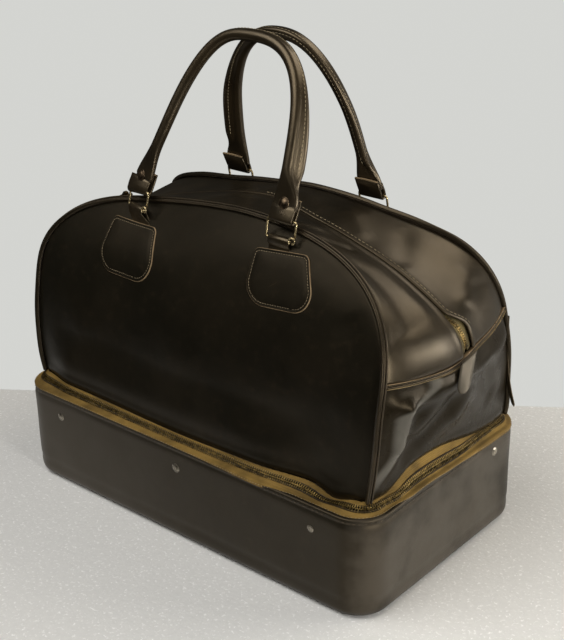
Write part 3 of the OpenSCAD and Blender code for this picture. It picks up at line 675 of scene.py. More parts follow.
def zip_teeth(name, lower, material):
    """Row of moulded brass teeth that reach across the middle, set half a pitch from the other row."""
    path = mid_loop(0, TEETH_LIFT)
    toward = mid_loop(0.05, TEETH_LIFT) - path
    above = mid_loop(0, TEETH_LIFT + 1) - path
    places = respace(path, TOOTH_PITCH, 0.0 if lower else TOOTH_PITCH / 2)
    along = unit(at(np.gradient(path, axis=0), places))
    across = unit(at(toward, places)) * (1 if lower else -1)
    up = unit(np.cross(across, along))
    up = up * np.sign((up * at(above, places)).sum(1, keepdims=True))
    across = np.cross(up, along) * np.sign((np.cross(up, along) * across).sum(1, keepdims=True))
    profile = [(-ROW_HALF, -0.9), (-0.4, -1.0), (0.7, -0.65), (0.8, 0.2)]
    profile += [(0.2, 0.55), (-0.6, 0.5), (-1.3, 0.75), (-ROW_HALF, 0.6)]
    body, faces = prism(profile, BASE_TOOTH_HALF_T, 0.15)
    axes = np.stack([along, across, up], 1)
    return copies(name, body, faces, at(path, places), axes, material, False)


def hinge_leather(material):
    """Leather along the back that joins the two tiers."""
    rows = [zip_loop(w, 0.9 + 1.2 * math.sin(math.pi * w), back=True) for w in np.linspace(0, 0.95, 14)]
    return shell("rear_hinge_leather", np.stack(rows), material, HINGE_T, BASE_MIDDLE)


# Upper body

def panel_outline(side):
    """Closed outline of a panel as x and z, from the lower right corner up over the arch."""
    arch = arch_line(BODY_Z + CLEAR, 40, 90)
    t = unit(np.gradient(arch, axis=0))
    arch = arch + SEAM_GAP * np.stack([-t[:, 1], t[:, 0]], 1)
    x = np.linspace(arch[-1, 0], arch[0, 0], 120)[1:-1]
    lift = front_lift(x) if side < 0 else 0 * x
    low = np.stack([x, BODY_Z + CLEAR + lift], 1)
    return np.concatenate([arch, low])


def on_front(x, z, off):
    """Points on the front panel's curve, moved out of the bag by off."""
    return np.stack([x, -depth(z) - off, z], -1)


PANEL_CREASES = {
    -1: [
        ((-180, 235), (-120, 150), 26, 2.2),
        ((60, 125), (185, 175), 22, -1.6),
        ((-60, 215), (20, 160), 34, 1.8),
        ((160, 255), (185, 205), 12, -1.8),
    ],
    1: [
        ((-150, 230), (-90, 150), 28, 2.0),
        ((40, 130), (170, 180), 24, -1.8),
    ],
}


def panel_skin(name, side, material):
    """Front or back panel: drawn in at its seams, creased, and in front bulging over the zip."""
    edge = panel_outline(side)
    share = np.linspace(0, 1, 56) ** 0.8
    share[0] = 0.004
    middle = np.array([0, 190.0])
    flat = middle + (edge[None] - middle) * share[:, None, None]
    nearest = np.full(flat.shape[:2], 1e9)
    dense = edge[::2]
    for k in range(0, len(dense), 8):
        d = np.linalg.norm(flat[:, :, None] - dense[None, None, k:k + 8], axis=-1).min(-1)
        nearest = np.minimum(nearest, d)
    x, z = flat[..., 0], flat[..., 1]
    p = np.stack([x, z, 0 * x], -1)
    off = pillow(nearest, 1.6, 16)
    off = off + 0.8 * ripple(p, 170, 21 + side) * smooth(nearest / 30)
    hem = z - BODY_Z - (front_lift(x) if side < 0 else 0 * x)
    off = off + 1.5 * bell((hem - 7) / 5) * smooth((SPREAD_HL - 8 - np.abs(x)) / 12)
    if side < 0:
        off = off + front_push(x) * smooth((60 - hem) / 46)
    points = on_front(x, z, creased(off, p[..., :2], PANEL_CREASES[side]))
    if side > 0:
        points[..., 1] *= -1
    return shell(name, settle(points), material, LEATHER_T, BODY_MIDDLE, loop=True, pole=True)


def gusset_point(v, t, side, off=0.0):
    """Point of an end between its lower edge (v = 0) and the side seam (1), and across the bag (t)."""
    t = np.asarray(t, float)
    edge = float(depth(SEAM_EDGE_Z)) - SEAM_GAP
    _, _, seam_z = np.moveaxis(roof_point(np.ones_like(t), t * edge), -1, 0)
    seam = seam_z - 1.9
    low = BODY_Z + CLEAR + end_lift(t * FLAT_Y, side)
    z = lerp(low, seam, v)
    y = t * (depth(z) - SEAM_GAP)
    swell = RIDGE_END_X - float(arch_x(SEAM_EDGE_Z))
    x = arch_x(z) + swell * np.sin(np.pi / 2 * v) * (1 - t**2) + off
    if side > 0:
        x = x - end_push(t * BODY_HD) * (1 - v) ** 2
    return np.stack([x, y, z], -1)


def roof_point(u, y, off=0.0):
    """Point of the roof at u and y, with its outward direction along the ridge."""
    au = np.abs(u)
    ax, az = arch_at(au)
    rx, rz = ridge_at(au)
    t = y / depth(az)
    step = 0.002
    x1, z1 = ridge_at(np.minimum(1, au + step))
    x0, z0 = ridge_at(np.maximum(0, au - step))
    n = unit(np.stack([-(z1 - z0), x1 - x0], -1))
    x = ax + (rx - ax) * (1 - t**2) + n[..., 0] * off
    z = az + (rz - az) * (1 - t**2) + n[..., 1] * off
    return np.stack([np.where(u < 0, -x, x), y + 0 * x, z], -1)


def roof_edge(u):
    """Distance of the roof's outer edge from the middle at u."""
    _, z = arch_at(np.abs(u))
    return depth(z) - SEAM_GAP


GUSSET_CREASES = {
    1: [
        ((216, -76, 198), (214, -78, 138), 7.0, 6.0),
        ((214, -76, 158), (206, -99, 106), 6.5, 5.0),
        ((216, -56, 188), (208, -66, 118), 11.0, -6.0),
        ((220, -6, 178), (206, -62, 128), 13.0, -6.0),
        ((220, -60, 197), (226, 20, 192), 8.0, 3.0),
        ((222, 14, 176), (212, -10, 138), 10.0, 2.4),
        ((222, 34, 186), (210, 62, 132), 13.0, -2.6),
    ],
    -1: [
        ((216, -40, 188), (206, -84, 124), 10.0, 3.4),
        ((224, 10, 165), (212, 30, 124), 14.0, -2.6),
        ((222, 40, 188), (212, 66, 140), 12.0, 2.2),
    ],
}


def gusset(name, side, material):
    """End of the upper body: drawn in at its seams, folded, with a roll above its lower edge."""
    v = np.linspace(0, 1, 70)[:, None]
    t = np.linspace(-1, 1, 110)[None, :]
    tt = t + 0 * v
    base = gusset_point(v, tt, side)
    to_pipe = (1 - np.abs(tt)) * GUSSET_HALF_W
    to_hem = v * GUSSET_H + 0 * tt
    to_seam = GUSSET_H - to_hem
    off = pillow(to_pipe, 2.2, 14, 0.8) * smooth(to_seam / 20)
    off = off + 1.3 * ripple(base, 75, 71) * smooth(to_pipe / 16)
    rolls = 3.2 * bell((to_seam - 13) / 9) + 1.6 * bell((to_hem - 6) / 5)
    off = off + rolls * smooth(to_pipe / 12)
    points = gusset_point(v, tt, side, creased(off, base, GUSSET_CREASES[side]))
    points[..., 0] *= side
    return shell(name, settle(points), material, LEATHER_T, ROOF_BELOW)


def side_seam(name, side):
    """Side seam bound in tan, with two raised edges and a dark groove between them."""
    edge = float(depth(SEAM_EDGE_Z)) - PIPE_R
    y = np.linspace(-edge, edge, 90)
    path = roof_point(np.ones_like(y), y)
    path[:, 0] *= side
    path = settle(path)
    out = np.array([side, 0, 0.25])
    a = circle(12)
    parts = []
    for place, w, h, m in (
        (-1.7, 0.45, 2.2, EDGE),
        (-0.6, 0.8, 1.5, BODY_HIDE),
        (0.9, 0.8, 1.7, TRIM_HIDE),
        (2.0, 0.35, 2.0, SEAM_EDGE),
    ):
        section = np.stack([h * np.cos(a), place + w * np.sin(a)], 1)
        parts.append(swept(f"{name}_{len(parts)}", path, section, m, up=out))
    return join(name, parts)


def divider(material):
    """Skin under the upper compartment's floor, turned up or down at its edge to the body's hem."""
    edge = np.concatenate([zip_loop(1, 0), zip_loop(1, 0, back=True)])
    edge[:, :2] = edge[:, :2] * DIVIDER_SHARE
    level = BODY_Z + CLEAR
    rows = []
    for share in np.linspace(0.01, 1, 16):
        row = edge * share
        row[:, 2] = level - 1.6 * smooth((1 - share) / 0.3)
        rows.append(row)
    for share in (0.35, 0.7, 1.0):
        spread = 1 + DIVIDER_FLANGE * share
        row = edge * [spread, spread, 1]
        row[:, 2] = lerp(level, edge[:, 2] + 0.5, share)
        rows.append(row)
    return shell("divider_skin", np.array(rows), material, DIVIDER_T, BODY_MIDDLE, loop=True)


SLOT_HW = 1.6
SLOT_END_HW = {-1: 5.4, 1: 16.0}


def slot_at(u, side):
    """Half width of the top zip's slot, which opens out at its ends."""
    return SLOT_HW + (SLOT_END_HW[side] - SLOT_HW) * smooth((np.abs(u) - 0.8) / 0.12)


def roof_skin(name, side, u0, u1, material, rims):
    """Roof leather between two places along the bag, in front (-1) or behind (1) the top zip."""
    u = np.linspace(u0, u1, 110)[None, :]
    k = np.linspace(0, 1, 34)[:, None]
    outer, inner = roof_edge(u), slot_at(u, side)
    y = side * lerp(outer, inner, k) + 0 * u
    uu = u + 0 * k
    to_pipe, to_slot = np.abs(outer - np.abs(y)), np.abs(np.abs(y) - inner)
    off = pillow(to_pipe, 1.5, 12) + 0.9 * bell((to_slot - 2.0) / 2.5)
    p = roof_point(uu, y)
    off = off + 0.15 * ripple(p, 110, 33 + side) * smooth(to_pipe / 14) * smooth(to_slot / 8)
    points = roof_point(uu, y, creased(off, p, ROOF_CREASES[side]))
    return shell(name, settle(points), material, LEATHER_T, ROOF_BELOW, rims=rims)


ROOF_CREASES = {
    -1: [
        ((62, -44, 302), (96, -10, 291), 6.0, 2.6),
        ((100, -50, 295), (128, -12, 281), 7.0, -2.2),
        ((140, -60, 282), (202, -72, 226), 5.0, 2.6),
        ((128, -46, 288), (206, -54, 226), 9.0, -2.4),
        ((130, -22, 282), (212, -22, 236), 12.0, 2.0),
        ((-150, -40, 284), (-118, -6, 284), 8.0, 1.6),
        ((-40, -30, 301), (30, -12, 301), 9.0, 1.2),
    ],
    1: [
        ((70, 38, 300), (120, 10, 286), 7.0, 1.6),
        ((128, 44, 290), (160, 6, 268), 10.0, -1.4),
        ((190, 60, 258), (212, 26, 236), 10.0, 2.0),
        ((-20, 20, 301), (60, 26, 300), 9.0, 1.6),
        ((-150, 42, 284), (-120, 8, 283), 8.0, 1.5),
    ],
}


def piping_path(side):
    """Path of a piping from its lower right end over the arch to its lower left end."""
    arch = arch_line(BODY_Z + 2 * CLEAR, 50, 110)
    return np.stack([arch[:, 0], side * depth(arch[:, 1]), arch[:, 1]], 1)


def piping(name, side, dark, tan):
    """Seam where two cut edges stand out on each side of a dark cord."""
    path = piping_path(side)
    out = path - np.array(BODY_MIDDLE, float)
    out[:, 1] = side * 60
    out[:, 0] *= 0.55
    out[:, 2] *= 0.55
    path = settle(path)
    wave = 0.3 * ripple(path, 26, 50 + side)
    a = circle(12)
    parts = []
    for part, place, w, h, material in (
        ("front_fold", -2.1, 0.7, 1.8, dark),
        ("front_edge", -1.35, 0.22, 2.15, tan),
        ("cord", 0.0, 1.0, 1.3, dark),
        ("rear_edge", 1.35, 0.22, 2.05, tan),
        ("rear_fold", 2.1, 0.7, 1.7, dark),
    ):
        section = np.stack([h * rounded(np.cos(a), 0.6), place + w * rounded(np.sin(a), 0.6)], 1)
        section = np.repeat(section[None], len(path), 0)
        section[..., 0] += wave[:, None]
        parts.append(swept(f"{name}_{part}", path, section, material, up=out))
    return join(name, parts)


def join(name, objs):
    """Joins pieces into the first one and gives it a name."""
    slots, verts, faces, mats, flats = [], [], [], [], []
    for obj in objs:
        mesh = obj.data
        offset = len(verts)
        verts += [tuple(v.co) for v in mesh.vertices]
        for m in mesh.materials:
            if m not in slots:
                slots.append(m)
        for poly in mesh.polygons:
            faces.append([i + offset for i in poly.vertices])
            mats.append(slots.index(mesh.materials[poly.material_index]))
            flats.append(poly.use_smooth)
    mesh = bpy.data.meshes.new(name)
    mesh.from_pydata(verts, [], faces)
    for m in slots:
        mesh.materials.append(m)
    mesh.polygons.foreach_set("material_index", mats)
    mesh.polygons.foreach_set("use_smooth", flats)
    mesh.update()
    for obj in objs:
        bpy.data.objects.remove(obj)
    whole = bpy.data.objects.new(name, mesh)
    bpy.context.scene.collection.objects.link(whole)
    return whole


# Patches, chapes, rings and tabs

PATCH_TOP = 278.0
PATCH_H = 47.0
PATCH_TOP_W = 57.0
PATCH_W = 66.0
PATCH_T = 1.7
PATCH_X = 86.0


def patch_outline(inset=0.0):
    """Closed outline of a patch about x = 0: square shoulders above, a wide round foot."""
    pts = []
    top, low = PATCH_TOP - inset, PATCH_TOP - PATCH_H + inset
    half_top, half = PATCH_TOP_W / 2 - inset, PATCH_W / 2 - inset
    r1, r2 = 6.0 - inset, 18.0 - inset
    for cx, cz, r, a0, a1 in (
        (half - r2, low + r2, r2, -90, 8), (half_top - r1, top - r1, r1, 8, 90),
        (-half_top + r1, top - r1, r1, 90, 172), (-half + r2, low + r2, r2, 172, 270),
    ):
        a = np.radians(np.linspace(a0, a1, 14))
        pts.append(np.stack([cx + r * np.cos(a), cz + r * np.sin(a)], 1))
    pts = np.concatenate(pts)
    closed = np.concatenate([pts, pts[:1]])
    places = respace(np.column_stack([closed, 0 * closed[:, 0]]), 1.6)
    return at(closed, places)


def patch_points(outline, x, side, lift, rise=0.0, turn=0.0, skew=0.0, tall=1.0):
    """A patch's outline laid on the panel at x, lifted off it, turned, skewed and stretched."""
    c, s = math.cos(turn), math.sin(turn)
    middle = PATCH_TOP - PATCH_H / 2
    pz = (outline[..., 1] - middle) * tall
    px = outline[..., 0] - skew * pz
    p = on_front(px * c - pz * s + x, px * s + pz * c + middle + rise, lift)
    p[..., 1] *= -side
    return settle(p)


def patch(name, x, side, leather, cut, thread, *form):
    """Stitched patch with a pale cut edge, and its row of thread."""
    edge = patch_outline()
    middle = np.array([0, PATCH_TOP - PATCH_H * 0.52])
    share = np.array([0.004, 0.2, 0.4, 0.55, 0.68, 0.78, 0.85, 0.9, 0.94, 0.975, 1.0])[:, None, None]
    flat = middle + (edge[None] - middle) * share
    d = (1 - share[..., 0]) * 28
    lift = 2.7 + 0.5 * smooth(d / 12) - 0.5 * bell((d - 2.2) / 1.0) + 0 * flat[..., 0]
    points = patch_points(flat, x, side, lift, *form)
    skin = shell(name, points, leather, PATCH_T, BODY_MIDDLE, loop=True, pole=True, edge=cut)
    seam = patch_outline(2.2)
    seam = np.concatenate([seam, seam[:1]])
    path = patch_points(seam, x, side, 2.45, *form)
    return skin, stitches(f"{name}_thread", path, (0, side, 0.15), thread, *PATCH_STITCHES)


TAB_W = 21.0
TAB_L = 25.0
TAB_T = 2.2
CHAPE_W = 22.0
WIRE_R = 1.0
CURL_R = 0.8
RING_W = 30.0
RING_H = 17.0
RING_LEAN = math.radians(11.5)
RING_Z = 289.0
RING_Y = abs(JOINTS["front_rings_turn"]["pos_m"][1]) / MM
HANDLE_Y = abs(JOINTS["front_handle_swings"]["pos_m"][1]) / MM
HANDLE_Z = JOINTS["front_handle_swings"]["pos_m"][2] / MM

# Where the rings and a handle's two ends stand along the bag in front and behind, left and right
END_X = {-1: (-84.5, 76.0), 1: (-80.0, 80.5)}

# How each end has settled beside its solid, left and right: drop, shift along the bag and twist in degrees
END_SET = {-1: ((7.0, -6.0, -13.0), (0.0, 0.0, 0.0)), 1: ((12.0, 4.0, 0.0), (7.0, 0.0, 0.0))}


def lower_ends(p, side):
    """Points of a ring or a handle with both its ends let down, moved and twisted."""
    p = np.array(p, float)
    x, y, z = p[..., 0], p[..., 1], p[..., 2]
    share = smooth((HANDLE_Z + 75 - z) / 60)
    left, right = (np.array(v)[(None,) * x.ndim] for v in END_SET[side])
    drop, shift, twist = np.moveaxis(np.where((x < 0)[..., None], left, right) * share[..., None], -1, 0)
    cx = np.where(x < 0, *END_X[side])
    cy = side * HANDLE_Y
    c, s = np.cos(np.radians(twist)), np.sin(np.radians(twist))
    dx, dy = x - cx, y - cy
    return np.stack([cx + shift + dx * c - dy * s, cy + dx * s + dy * c, z - drop], -1)


def chape(name, x, side, top, leather):
    """Strap end folded round the ring's lower wire and sewn down behind the patch, whose top is given."""
    low_wire_r = 2.5
    y, z = -RING_Y, RING_Z
    sunk = settle((x, side * depth(top), top))[2] - top
    path = [(-depth(top - 8) - 0.4, top - 8 + sunk), (-depth(top) - 0.8, top + sunk)]
    path += [(-depth(top + 2) - 2.0, top + 2 + sunk), (y - 2.7, z - 3)]
    for a in np.radians(np.linspace(-10, 190, 16)):
        path.append((y - low_wire_r * math.cos(a), z + low_wire_r * math.sin(a)))
    path += [(y + low_wire_r, z - 3), (-depth(top + 2) + 0.4, top + 1 + sunk)]
    path += [(-depth(top - 5) + 0.6, top - 5 + sunk)]
    path = np.array([(x, -side * py, pz) for py, pz in path])
    w, w1 = CHAPE_W / 2, CHAPE_W / 2 - 0.6
    section = [(-w1, -0.8), (-w, -0.4), (-w, 0.4), (-w1, 0.8), (w1, 0.8), (w, 0.4), (w, -0.4), (w1, -0.8)]
    strip = swept(name, path, np.array(section), leather, up=(1, 0, 0))
    points = np.array([v.co for v in strip.data.vertices]) / MM
    share = smooth((points[:, 2:] - top - sunk) / (RING_Z - 3 - top - sunk))
    strip.data.vertices.foreach_set("co", (lerp(points, lower_ends(points, side), share) * MM).ravel())
    return strip


def wire_ring(name, x, side, brass):
    """Wire loop whose two ends meet in a small open curl at its lower outer corner."""
    half, r, step = RING_W / 2, 2.6, 10
    local = []
    for cx, cz, start in ((half - r, RING_H - r, 0), (-half + r, RING_H - r, 90), (-half + r, r, 180)):
        a = np.radians(np.linspace(start, start + 90, step))
        local.append(np.stack([cx + r * np.cos(a), 0 * a, cz + r * np.sin(a)], 1))
    local = np.concatenate([[(half, 0, 3.2)], *local, [(half - 4, 0, 0)]])
    a = np.linspace(-0.5 * math.pi, 1.35 * math.pi, 28)
    curl = np.stack([half - 1.2 + 2.6 * np.cos(a), 1.7 + 0.3 * a, 2.0 + 2.6 * np.sin(a)], 1)
    c, s = math.cos(RING_LEAN), math.sin(RING_LEAN)
    parts = []
    for k, line in enumerate((local, curl)):
        y, z = line[:, 1], line[:, 2]
        path = np.stack([x + line[:, 0], side * (RING_Y - z * s + y), RING_Z + z * c], 1)
        path = lower_ends(path, side)
        parts.append(swept(f"{name}_{k}", path, wire_section(CURL_R if k else WIRE_R), brass, up=(0, 1, 0.2)))
    return join(name, parts)


# Handle outline in its own plane: centre, right half, left half, lean of the left leg, exponent and height
HANDLE_FORM = {-1: (0.0, 76.0, 84.5, 0.18, 2.9, 142.0), 1: (20.0, 60.5, 100.0, 0.20, 2.4, 144.0)}
ROLL_R = 5.2
CORE_R = 3.3
END_HALF_W = 12.4
LOOP_HALF_W = 12.0
RIVET_Z = 13.0
FLANGE_TURN = 0.70
HANDLE_LEAN = math.asin((HANDLE_Y - 6.6) / 144.0)


def handle_frame(local, side):
    """Points from a handle's own frame, which stands on its rings and leans in to the middle."""
    c, s = math.cos(HANDLE_LEAN), math.sin(HANDLE_LEAN)
    x, y, z = local[..., 0], local[..., 1], local[..., 2]
    return lower_ends(np.stack([x, side * (HANDLE_Y - z * s + y * c), HANDLE_Z + z * c + y * s], -1), side)


def handle_path(side):
    """Centre line in the handle's own frame, from the right end over the bow to the left end."""
    middle, right_half, left_half, lean, power, height = HANDLE_FORM[side]
    a = np.linspace(0, math.pi, 1500)
    c, s = np.cos(a), np.sin(a)
    z = height * s ** (2 / power)
    half = np.where(c > 0, right_half, left_half - lean * z)
    path = np.stack([middle + half * rounded(c, 2 / power), 0 * a, z], 1)
    path = path[path[:, 2] > 7]
    path = at(path, respace(path, 2.6))
    for _ in range(6):
        path[1:-1] = (path[:-2] + 2 * path[1:-1] + path[2:]) / 4
    return path


def handle(name, side, leather, tan, thread):
    """Rolled handle with a sewn flange, which flattens at both ends into a tab folded round the ring."""
    path = handle_path(side)
    height = path[:, 2]
    flat = 1 - smooth((height - 12) / 30)
    flange = lerp(8.0, 2.2, smooth((height - 50) / 85)) * (1 - flat)
    a = circle(40)
    wave = 1 + 0.025 * ripple(path, 40, 61 + side)
    roll = ROLL_R + flange[:, None] * bell(((a + FLANGE_TURN + math.pi) % (2 * math.pi) - math.pi) / 0.40)
    ca, sa = np.cos(a), np.sin(a)
    tab = np.stack([END_HALF_W * rounded(ca, 0.4), 2.6 * rounded(sa, 0.4)], 1)
    section = lerp(np.stack([roll * ca, roll * sa], -1), tab[None], flat[:, None, None]) * wave[:, None, None]
    tangent = unit(np.gradient(path, axis=0))
    depth_way = np.array([0, 1.0, 0])
    outward = -np.cross(tangent, depth_way)
    to_flange = math.cos(FLANGE_TURN) * outward - math.sin(FLANGE_TURN) * depth_way
    middle = path - 0.45 * flange[:, None] * to_flange
    local = middle[:, None] + section[..., :1] * outward[:, None] + section[..., 1:] * depth_way
    cover = tube(f"{name}_cover", handle_frame(local, side), leather)
    tidy_normals(cover)
    parts = [cover]
    strap = [(-1, -0.6), (-1, 0.6), (-0.95, 1.1), (0.95, 1.1)]
    strap += [(1, 0.6), (1, -0.6), (0.95, -1.1), (-0.95, -1.1)]
    for x in END_X[side]:
        loop = [(1.4, 12), (1.8, 8), (2.4, 4)]
        loop += [(2.7 * math.cos(t), 2.7 * math.sin(t)) for t in np.radians(np.linspace(0, -180, 16))]
        loop += [(-2.9, 4), (-3.4, 10), (-3.8, 17)]
        line = np.array([(x, py, pz) for py, pz in loop])
        half = np.where(line[:, 2] > 0, END_HALF_W, LOOP_HALF_W)
        sections = np.repeat(np.array(strap)[None], len(line), 0)
        sections[..., 0] *= half[:, None]
        parts.append(swept(f"{name}_loop", handle_frame(line, side), sections, leather, up=(1, 0, 0)))
        edge = np.array([(x + k * LOOP_HALF_W, -3.8, 17.4 - 0.8 * k * k) for k in np.linspace(-1, 1, 11)])
        parts.append(swept(f"{name}_cut", handle_frame(edge, side), wire_section(0.9, 8), tan))
    lines = []
    for k in (-1, 1):
        angle = -FLANGE_TURN + k * 0.36
        r = (ROLL_R + 0.44 * flange)[:, None]
        out = math.cos(angle) * outward + math.sin(angle) * depth_way
        turned = -FLANGE_TURN + k * 1.2
        face = math.cos(turned) * outward + math.sin(turned) * depth_way
        keep = slice(10, len(path) - 10)
        tip = handle_frame(path + face, side) - handle_frame(path, side)
        row = handle_frame(middle + r * out, side)
        lines.append(stitches(f"{name}_thread", row[keep], tip[keep], thread, *HANDLE_STITCHES))
    return join(name, parts), join(f"{name}_thread", lines)


def rivets(name, side, bronze):
    """Domed rivet heads through both ends of a handle."""
    a = circle(24)
    profile = [(0.01, 2.2), (2.2, 2.0), (3.6, 1.4), (4.3, 0.7)]
    profile += [(4.6, 0.9), (5.3, 0.6), (5.5, -0.1), (5.5, -0.8)]
    parts = []
    for x in END_X[side]:
        grid = [[(x + r * math.cos(t), 2.5 + h, RIVET_Z + r * math.sin(t)) for t in a] for r, h in profile]
        points = handle_frame(np.array(grid), side)
        faces = grid_faces(len(profile), len(a), True).tolist()
        last = (len(profile) - 1) * len(a)
        faces += [list(range(len(a))), list(range(last, last + len(a)))]
        head = add_piece(f"{name}_head", points.reshape(-1, 3), faces, bronze)
        tidy_normals(head)
        parts.append(head)
    return join(name, parts)


def handle_core(name, side, cloth):
    """Cord of three twisted strands inside a handle."""
    path = handle_path(side)[12:-12]
    twist = np.linspace(0, 60, len(path))
    a = circle(16)
    r = CORE_R + 0.35 * np.cos(3 * (a[None] + twist[:, None]))
    section = np.stack([r * np.cos(a), r * np.sin(a)], -1)
    return swept(name, handle_frame(path, side), section, cloth, up=(0, 1, 0))


def rounded_tab(name, material, width, length, thickness, place, rows=26, cols=15, foot=0.5):
    """Strip that hangs from its upper edge and ends in a half round; place maps x, z to points."""
    v = np.linspace(0, 1, rows)[:, None]
    k = np.linspace(-1, 1, cols)[None, :]
    drop = v * length
    end = np.clip((drop - (length - width * foot)) / (width * foot), 0, 1)
    half = width / 2 * np.sqrt(np.clip(1 - end**2, 0.0004, 1))
    x = k * half
    return shell(name, place(x, -drop + 0 * k), material, thickness, BODY_MIDDLE)


def end_tab_place(sign):
    """Map for the tab under an end of the top zip, which hangs out from the gusset and sways forwards."""
    def place(x, z):
        fall = -z / TAB_L
        px = RIDGE_END_X + 4.0 + 9.0 * fall - 1.4 * (x / 8) ** 2 * fall
        sway = -6.0 - 17.0 * fall
        return np.stack([sign * px, x + sign * sway, SEAM_MID_Z + 5.0 + 0.84 * z + 0.2 * x * sign], -1)
    return place


STRAP_X = 200.0
STRAP_Z = 192.0
STRAP_W = 3.0
STRAP_L = 84.0
STRAP_T = 1.2


def strap_place(x, z):
    """Map for the strap that hangs at the right end of the back, down to its lower end's outward bend."""
    fall = -z / STRAP_L
    out = 2.0 * fall + 11.0 * fall**3
    y = depth(STRAP_Z) + 1.8 - 2.0 * fall
    return np.stack([STRAP_X - 2.0 + x + out, y, STRAP_Z + 7.0 + z], -1)


# Top zip

ZIP_SHIFT = 5.5
ZIP_TURN_U = 0.82
TOP_TAPE_T = 0.7


def zip_shift(u):
    """How far the top zip lies behind the middle at its right end."""
    return ZIP_SHIFT * smooth((u - ZIP_TURN_U) / 0.08)


def zip_lift(u):
    """How far the top zip comes up where it shows at its right end."""
    return 2.2 * smooth((u - ZIP_TURN_U) / 0.05)


def top_teeth(name, u0, u1, side, gap, brass):
    """Teeth on one side of the top zip between two places along the ridge."""
    u = np.linspace(u0, u1, 160)
    shift = zip_shift(u)
    path = roof_point(u, shift, -3.2 + zip_lift(u))
    lifted = roof_point(u, shift, -1.0 + zip_lift(u))
    places = respace(path, TOOTH_PITCH, 0.0 if side < 0 else TOOTH_PITCH / 2)
    along = unit(at(np.gradient(path, axis=0), places))
    up = unit(at(lifted - path, places))
    across = np.cross(up, along)
    across = across * np.sign(across[:, 1:2]) * -side
    profile = [(-ROW_HALF, -0.9), (-0.4, -1.0), (0.75, -0.65), (0.85, 0.35)]
    profile += [(0.2, 0.8), (-0.6, 0.75), (-ROW_HALF, 0.9)]
    body, faces = prism(profile, TOP_TOOTH_HALF_T, 0.16)
    origins = at(path, places) - across * gap
    return copies(name, body, faces, settle(origins), np.stack([along, across, up], 1), brass, False)


def top_tape(name, u0, u1, side, material):
    """Tape on one side of the top zip between two places along the ridge."""
    u = np.linspace(u0, u1, 60)[None, :]
    start = 3.5 - 0.9 * smooth((u - ZIP_TURN_U) / 0.05)
    shift = zip_shift(u)
    y = side * lerp(start, 19.0, np.linspace(0, 1, 12)[:, None]) + shift
    points = roof_point(u + 0 * y, y, -2.5 + zip_lift(u) * bell((y - shift) / 14))
    return shell(name, settle(points), material, TOP_TAPE_T, ROOF_BELOW)


# Materials

class Nodes:
    """Short way to build a material's nodes."""

    def __init__(self, name):
        self.material = bpy.data.materials.new(name)
        self.material.use_nodes = True
        self.tree = self.material.node_tree
        self.shader = self.tree.nodes["Principled BSDF"]
        self.place = self.tree.nodes.new("ShaderNodeTexCoord").outputs["Object"]

    def add(self, kind, inputs=(), **settings):
        """New node of a kind, with values or links for its inputs."""
        node = self.tree.nodes.new("ShaderNode" + kind)
        for key, value in settings.items():
            setattr(node, key, value)
        for key, value in dict(inputs).items():
            self.set(node, key, value)
        return node

    def set(self, node, key, value):
        """Links an input to another node's output, or gives it a value."""
        socket = node.inputs[key]
        if isinstance(value, bpy.types.NodeSocket):
            self.tree.links.new(value, socket)
        else:
            socket.default_value = value

    def noise(self, scale, detail=3.0, rough=0.55, stretch=(1, 1, 1), distort=0.0):
        """Cloudy value, with features of about one metre divided by scale."""
        mapped = self.add("Mapping", {"Vector": self.place, "Scale": stretch}).outputs[0]
        inputs = {"Vector": mapped, "Scale": scale, "Detail": detail, "Roughness": rough}
        return self.add("TexNoise", {**inputs, "Distortion": distort}).outputs["Fac"]

    def ramp(self, fac, low, high, start=0.0, end=1.0):
        """Value that eases from start to end while fac goes from low to high."""
        inputs = {"Value": fac, "From Min": low, "From Max": high, "To Min": start, "To Max": end}
        return self.add("MapRange", inputs, interpolation_type="SMOOTHSTEP").outputs[0]

    def mix(self, fac, a, b):
        """Colour a where fac is 0 and b where it is 1."""
        node = self.add("Mix", data_type="RGBA")
        self.set(node, 0, fac)
        for key, value in ((6, a), (7, b)):
            self.set(node, key, value if isinstance(value, bpy.types.NodeSocket) else (*value, 1))
        return node.outputs[2]

    def math(self, kind, a, b=0.0):
        node = self.add("Math", operation=kind)
        self.set(node, 0, a)
        self.set(node, 1, b)
        return node.outputs[0]

    def times(self, a, b):
        return self.math("MULTIPLY", a, b)

    def axis(self, name):
        """Place along X, Y or Z in metres."""
        return self.add("SeparateXYZ", {"Vector": self.place}).outputs[name]

    def worn(self, low, high):
        """Share of wear on the surface's raised edges."""
        return self.ramp(self.add("NewGeometry").outputs["Pointiness"], low, high)

    def bump(self, height, strength, distance, normal=None):
        """Small relief on a surface, on top of an earlier one."""
        node = self.add("Bump", {"Height": height, "Strength": strength, "Distance": distance})
        if normal is not None:
            self.set(node, "Normal", normal)
        return node.outputs[0]

    def finish(self, **inputs):
        """The material, with its shader's inputs set."""
        for key, value in inputs.items():
            self.set(self.shader, key.replace("_", " "), value)
        return self.material


WORN_HIDE = (0.075, 0.052, 0.030)
RIB_SCALE = 1400 / 6.28


def painted_sheen_and_dust(m, color, cloud, tone):
    """Colour greyed over the base's left part and right side: a painted sheen where light falls on them,
    partly dust.
    """
    along = m.math("ADD", m.axis("X"), m.times(m.math("SUBTRACT", cloud, 0.5), 0.12))
    share = m.math("MAXIMUM", m.ramp(along, -0.20, 0.06, 0.8, 0.0), m.ramp(along, 0.19, 0.222))
    return m.mix(share, color, (tone, tone * 0.87, tone * 0.70))


